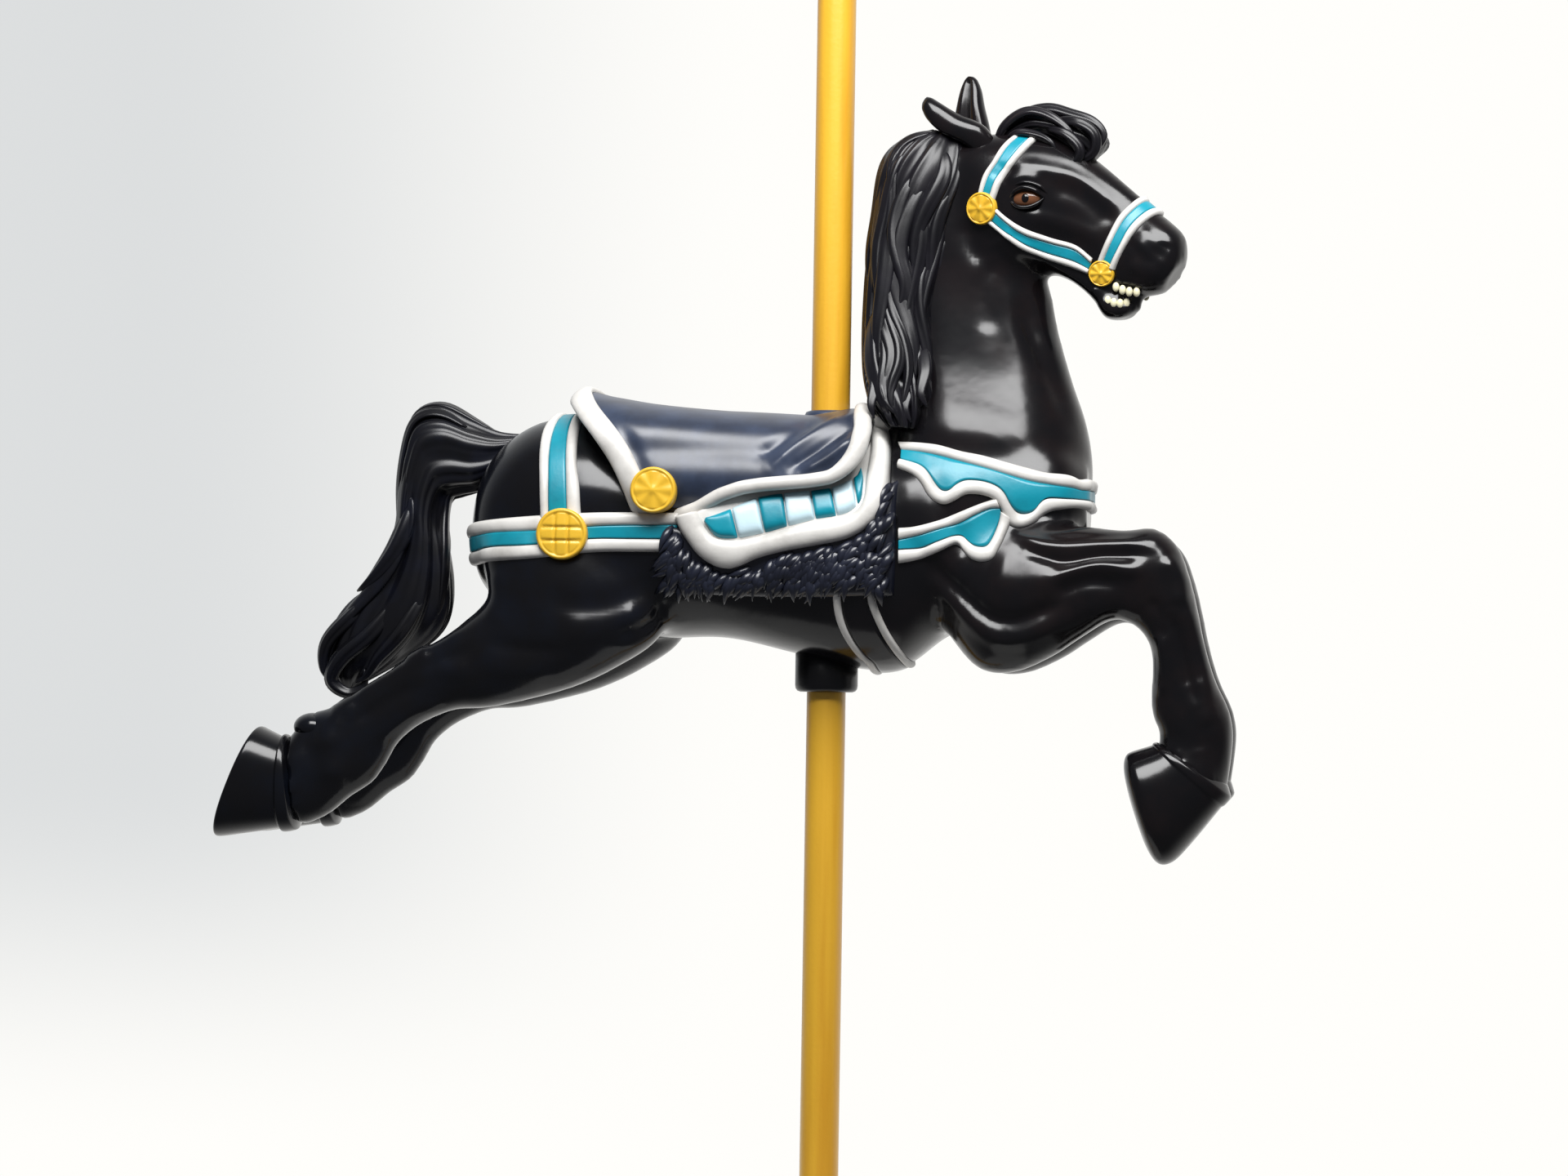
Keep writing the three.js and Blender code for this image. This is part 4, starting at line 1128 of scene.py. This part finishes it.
# Saddle: the seat, the white roll all round its edge, and the boss round the pole
seatLook = {
    "square": 2.35, "thick": 16.0,
    # the hollow at the rider's leg: depth, height and spread, and over how far it fades to the rear, front
    # and middle; and the dish on top: depth, its middle along x, length and width
    "scoop": {"depth": 10.0, "height": 1088, "spread": 26, "rear": (-300, 90), "front": (40, 110), "side": 90},
    "dish": {"depth": 5.0, "middle": -190, "length": 90, "width": 60},
    "rows": [
        (-344, 1160, -318, 1000, 0, 112), (-322, 1171, -300, 985, 0, 140), (-290, 1165, -285, 980, 0, 152),
        (-230, 1157, -230, 975, 0, 155), (-127, 1147, -127, 975, 0, 151), (-20, 1140, -20, 975, 0, 150),
        (36, 1150, 36, 985, 0, 148), (62, 1140, 62, 1000, 0, 140)],
    "cantle": [
        (-330, 1176), (-318, 1157), (-295, 1130), (-272, 1106), (-254, 1082), (-240, 1056), (-229, 1030),
        (-222, 1003)],
    "pommel": [
        (40, 1156), (50, 1140), (57, 1115), (54, 1090), (44, 1068), (30, 1056)],
    "rail": [
        (-340, 985), (-222, 1000), (-186, 1003), (-150, 1014), (-122, 1029), (-94, 1038), (-67, 1042),
        (-8, 1047), (21, 1052), (44, 1066), (90, 1070)],
    # folds towards the pommel: the line of each in the side view, its radius and its height
    "folds": [
        ([(-60, 1062), (-28, 1090), (10, 1118), (44, 1136)], 7, 5),
        ([(-40, 1056), (-4, 1082), (30, 1108), (52, 1120)], 7, -5),
        ([(-20, 1056), (12, 1074), (38, 1094), (54, 1106)], 7, 4.5),
        ([(-76, 1076), (-40, 1104), (0, 1130)], 9, -4),
        ([(-318, 1150), (-278, 1132), (-248, 1104), (-228, 1066), (-214, 1036)], 12, -4)]}


def seatGrid(count=130, across=121, rounds=14):
    # Each cut is a squared half-ellipse from rail to rail. Its ends lie on the cantle and pommel lines,
    # which are reached by moving halfway there each round.
    rows = np.array(seatLook["rows"], float)
    square = seatLook["square"]
    placeX = (rows[:, 0] + rows[:, 2]) / 2
    w = np.linspace(-1, 1, across)[None]
    u = np.linspace(0, 1, count)[:, None]
    cantle, pommel, rail = (np.array(seatLook[k], float) for k in ("cantle", "pommel", "rail"))

    def section(x):
        top, bottom, half = (np.interp(x, placeX, rows[:, k]) for k in (1, 3, 5))
        middle, depth = (top + bottom) / 2, (top - bottom) / 2
        low = np.interp(x, rail[:, 0], rail[:, 1])
        share = np.clip((low - middle) / depth, -1, 1)
        angle = np.arccos(np.sign(share) * np.abs(share) ** (square / 2)) * w
        z = middle + depth * fuller(np.cos(angle), square)
        return np.stack([x + 0 * w, half * fuller(np.sin(angle), square), z], -1)

    start = np.full_like(w, -280.0) + 0 * u
    finish = np.full_like(w, 40.0) + 0 * u
    for _ in range(rounds):
        start = 0.5 * start + 0.5 * np.interp(section(start)[..., 2], cantle[::-1, 1], cantle[::-1, 0])
        finish = 0.5 * finish + 0.5 * np.interp(section(finish)[..., 2], pommel[::-1, 1], pommel[::-1, 0])
    x = start[:1] + (finish[:1] - start[:1]) * u
    return eased(eased(section(x), 4, 0), 2, 1)


def gridWay(grid):
    # The cross product of the grid's two directions, turned to point out of its middle
    way = unit(np.cross(np.gradient(grid, axis=1), np.gradient(grid, axis=0)))
    middle = grid.reshape(-1, 3).mean(0) * [1, 0, 1]
    return way * np.sign((way * (grid - middle)).sum())


def seatShape(grid, way):
    # Hollowed at each side by depth * exp(-((z - height) / spread)^2), dished on top by
    # depth * exp(-((x - middle) / length)^2) * exp(-(y / width)^2), and folded.
    scoop, dish = seatLook["scoop"], seatLook["dish"]
    flat, normal = grid.reshape(-1, 3), way.reshape(-1, 3)
    x, y, z = flat.T
    side = np.abs(y)
    (rear, behind), (front, ahead) = scoop["rear"], scoop["front"]
    share = np.exp(-((z - scoop["height"]) / scoop["spread"]) ** 2)
    share = share * np.clip((x - rear) / behind, 0, 1) * np.clip((front - x) / ahead, 0, 1)
    flat = flat - normal * (scoop["depth"] * share * np.clip(side / scoop["side"], 0, 1))[:, None]
    dent = np.exp(-((flat[:, 0] - dish["middle"]) / dish["length"]) ** 2) * np.exp(-(side / dish["width"]) ** 2)
    flat[:, 2] -= dish["depth"] * dent
    return carve(flat, normal, seatLook["folds"]).reshape(grid.shape)


seat = seatGrid()
seatWays = gridWay(seat)
seatTop = seatShape(seat, seatWays)
under = (seatTop - seatWays * seatLook["thick"])[:, ::-1]
piece("seat", closedTube(np.concatenate([seatTop, under], 1)), seatEnamel)

# the roll's width at the cantle, along one rail, at the pommel and along the other rail
trimLook = {"wide": (31.0, 18.0, 24.0, 18.0), "high": 8.5, "sides": 18, "lift": 2.5, "overlap": 30}


def seatTrim():
    # Runs round the edge of the seat: over the cantle, along one rail, over the pommel and back.
    over = trimLook["overlap"]
    edge = lambda grid: [grid[0], grid[1:, -1], grid[-1, ::-1][1:], grid[::-1, 0][1:-1]]
    around = lambda v, rounds: eased(np.concatenate([v[-over:], v, v[:over]]), rounds)[over:-over]
    rim, ways = edge(seatTop), edge(seatWays)
    wide = [np.full(len(part), width) for part, width in zip(rim, trimLook["wide"])]
    path, way, width = (np.concatenate(v) for v in (rim, ways, wide))
    path, way, width = around(path, 10), unit(around(way, 16)), around(width, 40)
    path, way, width = (np.concatenate([v[-2:], v, v[:2]]) for v in (path, way, width))
    roll = rollAlong(path, way, width, trimLook["high"], trimLook["sides"], lift=trimLook["lift"])
    return closedRing(roll[2:-2])


piece("saddle_trim", seatTrim(), white)
bossProfile = [(26, 1122), (33, 1122), (35, 1132), (34.5, 1140), (32, 1145), (28, 1146.5), (26, 1145)]
piece("pole_boss", closedRing(turned(bossProfile, 72)), seatEnamel)

# Quilted flap: a plate with a rolled border, and blocks between an upper and a lower line each
flapLook = {
    "base": 14.0, "puff": 7.0, "border": 11.0,
    "inner": [
        (-150, 1004), (-144, 995), (-140, 986), (-125, 973), (-95, 971), (-66, 977), (-37, 984), (-5, 993),
        (28, 997), (51, 1006), (61, 1021), (63, 1045), (66, 1076), (68, 1104), (62, 1134)],
    "outer": [
        (-180, 998), (-174, 984), (-164, 970), (-148, 952), (-124, 939), (-101, 938), (-72, 949),
        (-36, 958), (8, 966), (45, 975), (74, 995), (89, 1022), (92, 1053), (88, 1100), (76, 1138)],
    "rail": [
        (-165, 998), (-143, 1008), (-117, 1020), (-90, 1031), (-67, 1037), (-8, 1043), (21, 1048),
        (47, 1060), (62, 1084), (66, 1120)],
    "middle": [
        (-160, 985), (-146, 968), (-124, 954), (-98, 953), (-68, 962), (-36, 970), (0, 979), (38, 986),
        (64, 1002), (76, 1030), (78, 1060), (77, 1090), (72, 1120)],
    "blocks": [
        ("turquoise", [(-141, 997), (-124, 1003), (-108, 1009)], [(-143, 994), (-125, 974), (-96, 972)]),
        ("pale", [(-108, 1009), (-90, 1017), (-76, 1022)], [(-96, 972), (-80, 975), (-63, 978)]),
        ("turquoise", [(-76, 1022), (-60, 1025), (-43, 1027)], [(-63, 978), (-48, 982), (-34, 986)]),
        ("pale", [(-43, 1027), (-25, 1029), (-8, 1030)], [(-34, 986), (-18, 990), (1, 995)]),
        ("turquoise", [(-8, 1030), (6, 1032), (18, 1034)], [(1, 995), (15, 997), (28, 999)]),
        ("pale", [(18, 1034), (32, 1039), (45, 1045)], [(28, 999), (42, 1003), (53, 1011)]),
        ("turquoise", [(46, 1046), (52, 1050), (56, 1058)], [(54, 1012), (59, 1022), (60, 1044)])]}


def flap():
    look, base = flapLook, flapLook["base"]
    at, way = laidGrid(skin, look["rail"], look["middle"], 120, 15, ease=14)
    plate = raised(at, way, np.full(at.shape[:2], base))
    at, way = laidGrid(skin, look["inner"], look["outer"], 150, 15, ease=14)
    border = raised(at, way, halfRound(15, look["border"], base - 1))
    piece("flap_border", bothSides(gather([plate, border])), white)
    puffs = {"turquoise": [], "pale": []}
    for colour, top, bottom in look["blocks"]:
        at, way = laidGrid(skin, top, bottom, 20, 20, ease=10)
        puffs[colour].append(raised(at, way, base - 2 + flatPad(20, 20, look["puff"] + 2, 5)))
    piece("flap_turquoise", bothSides(gather(puffs["turquoise"])), turquoise)
    piece("flap_pale", bothSides(gather(puffs["pale"])), pale)


flap()

# Badges: x, z, radius, how far out the face stands, whether it is cut in squares, whether it is on the head
badgeLook = {
    "saddle": (-206, 1033, 29.5, 166, False, False), "hip": (-325, 976, 33, 160, True, False),
    "cheek": (213, 1405, 21, 8, False, True), "mouth": (366, 1321, 17, 8, False, True)}


def badgeShape(x, z, radius, out, squared, ground=None):
    # A low dome with a rolled rim, facing sideways or, on a ground, the way that ground faces.
    # It is cut across in squares like a waffle, or has 8 shallow petals: cos(8 a) * (r / 0.8)^2.
    inner = np.linspace(0.05, 0.80, 22)
    r = np.concatenate([[0.001], inner, [0.84, 0.88, 0.92, 0.96, 1.0, 1.0, 0.97]])
    dome = np.concatenate([[0], -2.5 * inner ** 2, [-2.6, -1.4, -1.2, -1.9, -3.6, -9, -34]])
    angle = np.linspace(0, 2 * np.pi, 72, endpoint=False)
    px, pz = r[:, None] * np.cos(angle), r[:, None] * np.sin(angle)
    inside = (r < 0.82)[:, None]
    if squared:
        cut = -sum(2.4 * np.exp(-((np.abs(np.abs(line) - 0.26)) / 0.055) ** 2) * inside for line in (px, pz))
    else:
        petals = np.cos(8 * angle)[None] * np.clip(r[:, None] / 0.8, 0, 1) ** 2
        cut = 0.9 * petals * inside + 2.0 * np.exp(-(r[:, None] / 0.2) ** 2)
    at, way = np.array([x, 0.0, z]), np.array([0.0, -1.0, 0.0])
    if ground:
        at, way = onSkin(ground, x, z, radius * 0.6)
    side = unit(np.cross([0.0, 0.0, 1.0], way))
    steps = ((px * radius, side), (pz * radius, np.cross(way, side)), (out + dome[:, None] + cut, way))
    return closedTube(at + sum(size[..., None] * axis for size, axis in steps))


onHorse, onHead = [], []
for *values, head in badgeLook.values():
    (onHead if head else onHorse).append(badgeShape(*values, face if head else None))
headBadges = [turnedHead(bothSides(badge)) for badge in onHead]
piece("badges", gather([bothSides(gather(onHorse)), *headBadges]), gold)

toothLook = {
    "size": (4.6, 3.6, 6.2),
    "places": [
        (384, -25, 1303), (393, -26.5, 1299), (402, -26.5, 1296.5), (411, -24, 1296),
        (373, -24, 1286), (381, -24, 1283), (389, -22, 1282), (396, -18, 1283)]}
teeth = [ball(place, toothLook["size"], 12, 16) for place in toothLook["places"]]
piece("teeth", turnedHead(bothSides(gather(teeth))), cream)


# Pole and collar
def poleShape():
    r, h, bevel = (poleLook[k] for k in ("radius", "length", "bevel"))
    shaft = [(r, z) for z in np.linspace(20, h - 20, poleLook["rings"])]
    profile = [(r - bevel, 0), (r, bevel), *shaft, (r, h - bevel), (r - bevel, h)]
    return closedTube(turned(profile, poleLook["sides"]))


piece("pole", poleShape(), poleYellow, "pole")
collarProfile = [(25.8, 779), (34, 779), (38, 780.5), (40.3, 783.5), (41, 788), (41, 850), (25.8, 850)]
collarBlack = enamel("collar_black", dict(enamelLook, roughness=(0.24, 0.36)))
piece("pole_collar", closedRing(turned(collarProfile, 96)), collarBlack, "pole_collar")

# Stage, light and camera
stageLook = {
    "paper": (0.52, 0.52, 0.515), "floor": -2.0, "radius": 430.0, "thick": 30.0,
    "back": (1.0, 0.992, 0.965), "grey": (0.72, 0.735, 0.74), "front": (0.125, 0.128, 0.14)}
lightLook = {"place": (0.35, -1.75, 3.1), "aim": (0.1, 0.0, 1.0), "size": (2.5, 1.4), "power": 165}
cameraLook = {
    "azimuth": 8.0, "elevation": -1.6, "roll": 0.915, "distance": 5.0, "target": (-0.058, 0, 0.9145),
    "lens": 87.62}


def floorDisc():
    # A round pale board under the pole, with a soft edge: (radius, height) of its profile.
    r, top = stageLook["radius"], stageLook["floor"]
    middle, bottom = r * 0.02, top - stageLook["thick"]
    edge = [(r - 12, top), (r - 4, top - 3), (r, top - 12), (r, bottom)]
    profile = [(middle, top), (r * 0.5, top), *edge, (middle, bottom)]
    obj = addObject("floor", meshFrom("floor", *closedTube(turned(profile, 128))))
    obj.data.materials.append(Shade("paper").coat(colour=stageLook["paper"], roughness=0.85))


def room():
    # A studio with a bright wall behind the horse and a dim side behind the camera, by direction (x, y, z):
    # the wall where y is high, greyer to its left and not below the horizon.
    world = bpy.data.worlds.new("room")
    bpy.context.scene.world = world
    s = Shade(world=world)
    way = s.node("ShaderNodeTexCoord", output="Generated")
    split = s.node("ShaderNodeSeparateXYZ", {}, [way])
    x, y, z = (Sock(s, split.socket.node.outputs[k]) for k in range(3))
    left = 1 - (x + 0.14).ramp(-0.165, 0.0)
    above = 1 - (z * -1.0).ramp(0.02, 0.12)
    wall = s.blend(left * above, stageLook["back"], stageLook["grey"])
    s.join(s.blend(y.ramp(-0.25, 0.75), stageLook["front"], wall), s.skin.inputs["Color"])
    s.skin.inputs["Strength"].default_value = 1.0


def softLight():
    lamp = bpy.data.lights.new("key", "AREA")
    lamp.shape, lamp.energy = "RECTANGLE", lightLook["power"]
    lamp.size, lamp.size_y = lightLook["size"]
    obj = addObject("key", lamp)
    obj.location = lightLook["place"]
    obj.rotation_mode = "QUATERNION"
    obj.rotation_quaternion = (Vector(lightLook["aim"]) - Vector(lightLook["place"])).to_track_quat("-Z", "Y")


def makeCamera():
    # Looks at the target from the azimuth and elevation, rolled about its own line of sight.
    a, e, roll = (math.radians(cameraLook[k]) for k in ("azimuth", "elevation", "roll"))
    back = Vector((math.sin(a) * math.cos(e), -math.cos(a) * math.cos(e), math.sin(e)))
    level = Vector((math.cos(a), math.sin(a), 0))
    up = level.cross(-back)
    right = level * math.cos(roll) + up * math.sin(roll)
    over = up * math.cos(roll) - level * math.sin(roll)
    place = Vector(cameraLook["target"]) + back * cameraLook["distance"]
    cam = bpy.data.cameras.new("camera")
    cam.lens, cam.sensor_width, cam.clip_end = cameraLook["lens"], 36, 100
    obj = addObject("camera", cam)
    obj.matrix_world = Matrix([*zip(right, over, back, place), (0, 0, 0, 1)])
    bpy.context.scene.camera = obj


floorDisc()
room()
softLight()
makeCamera()
bpy.context.scene.view_settings.view_transform = "Standard"
print("stage ready")
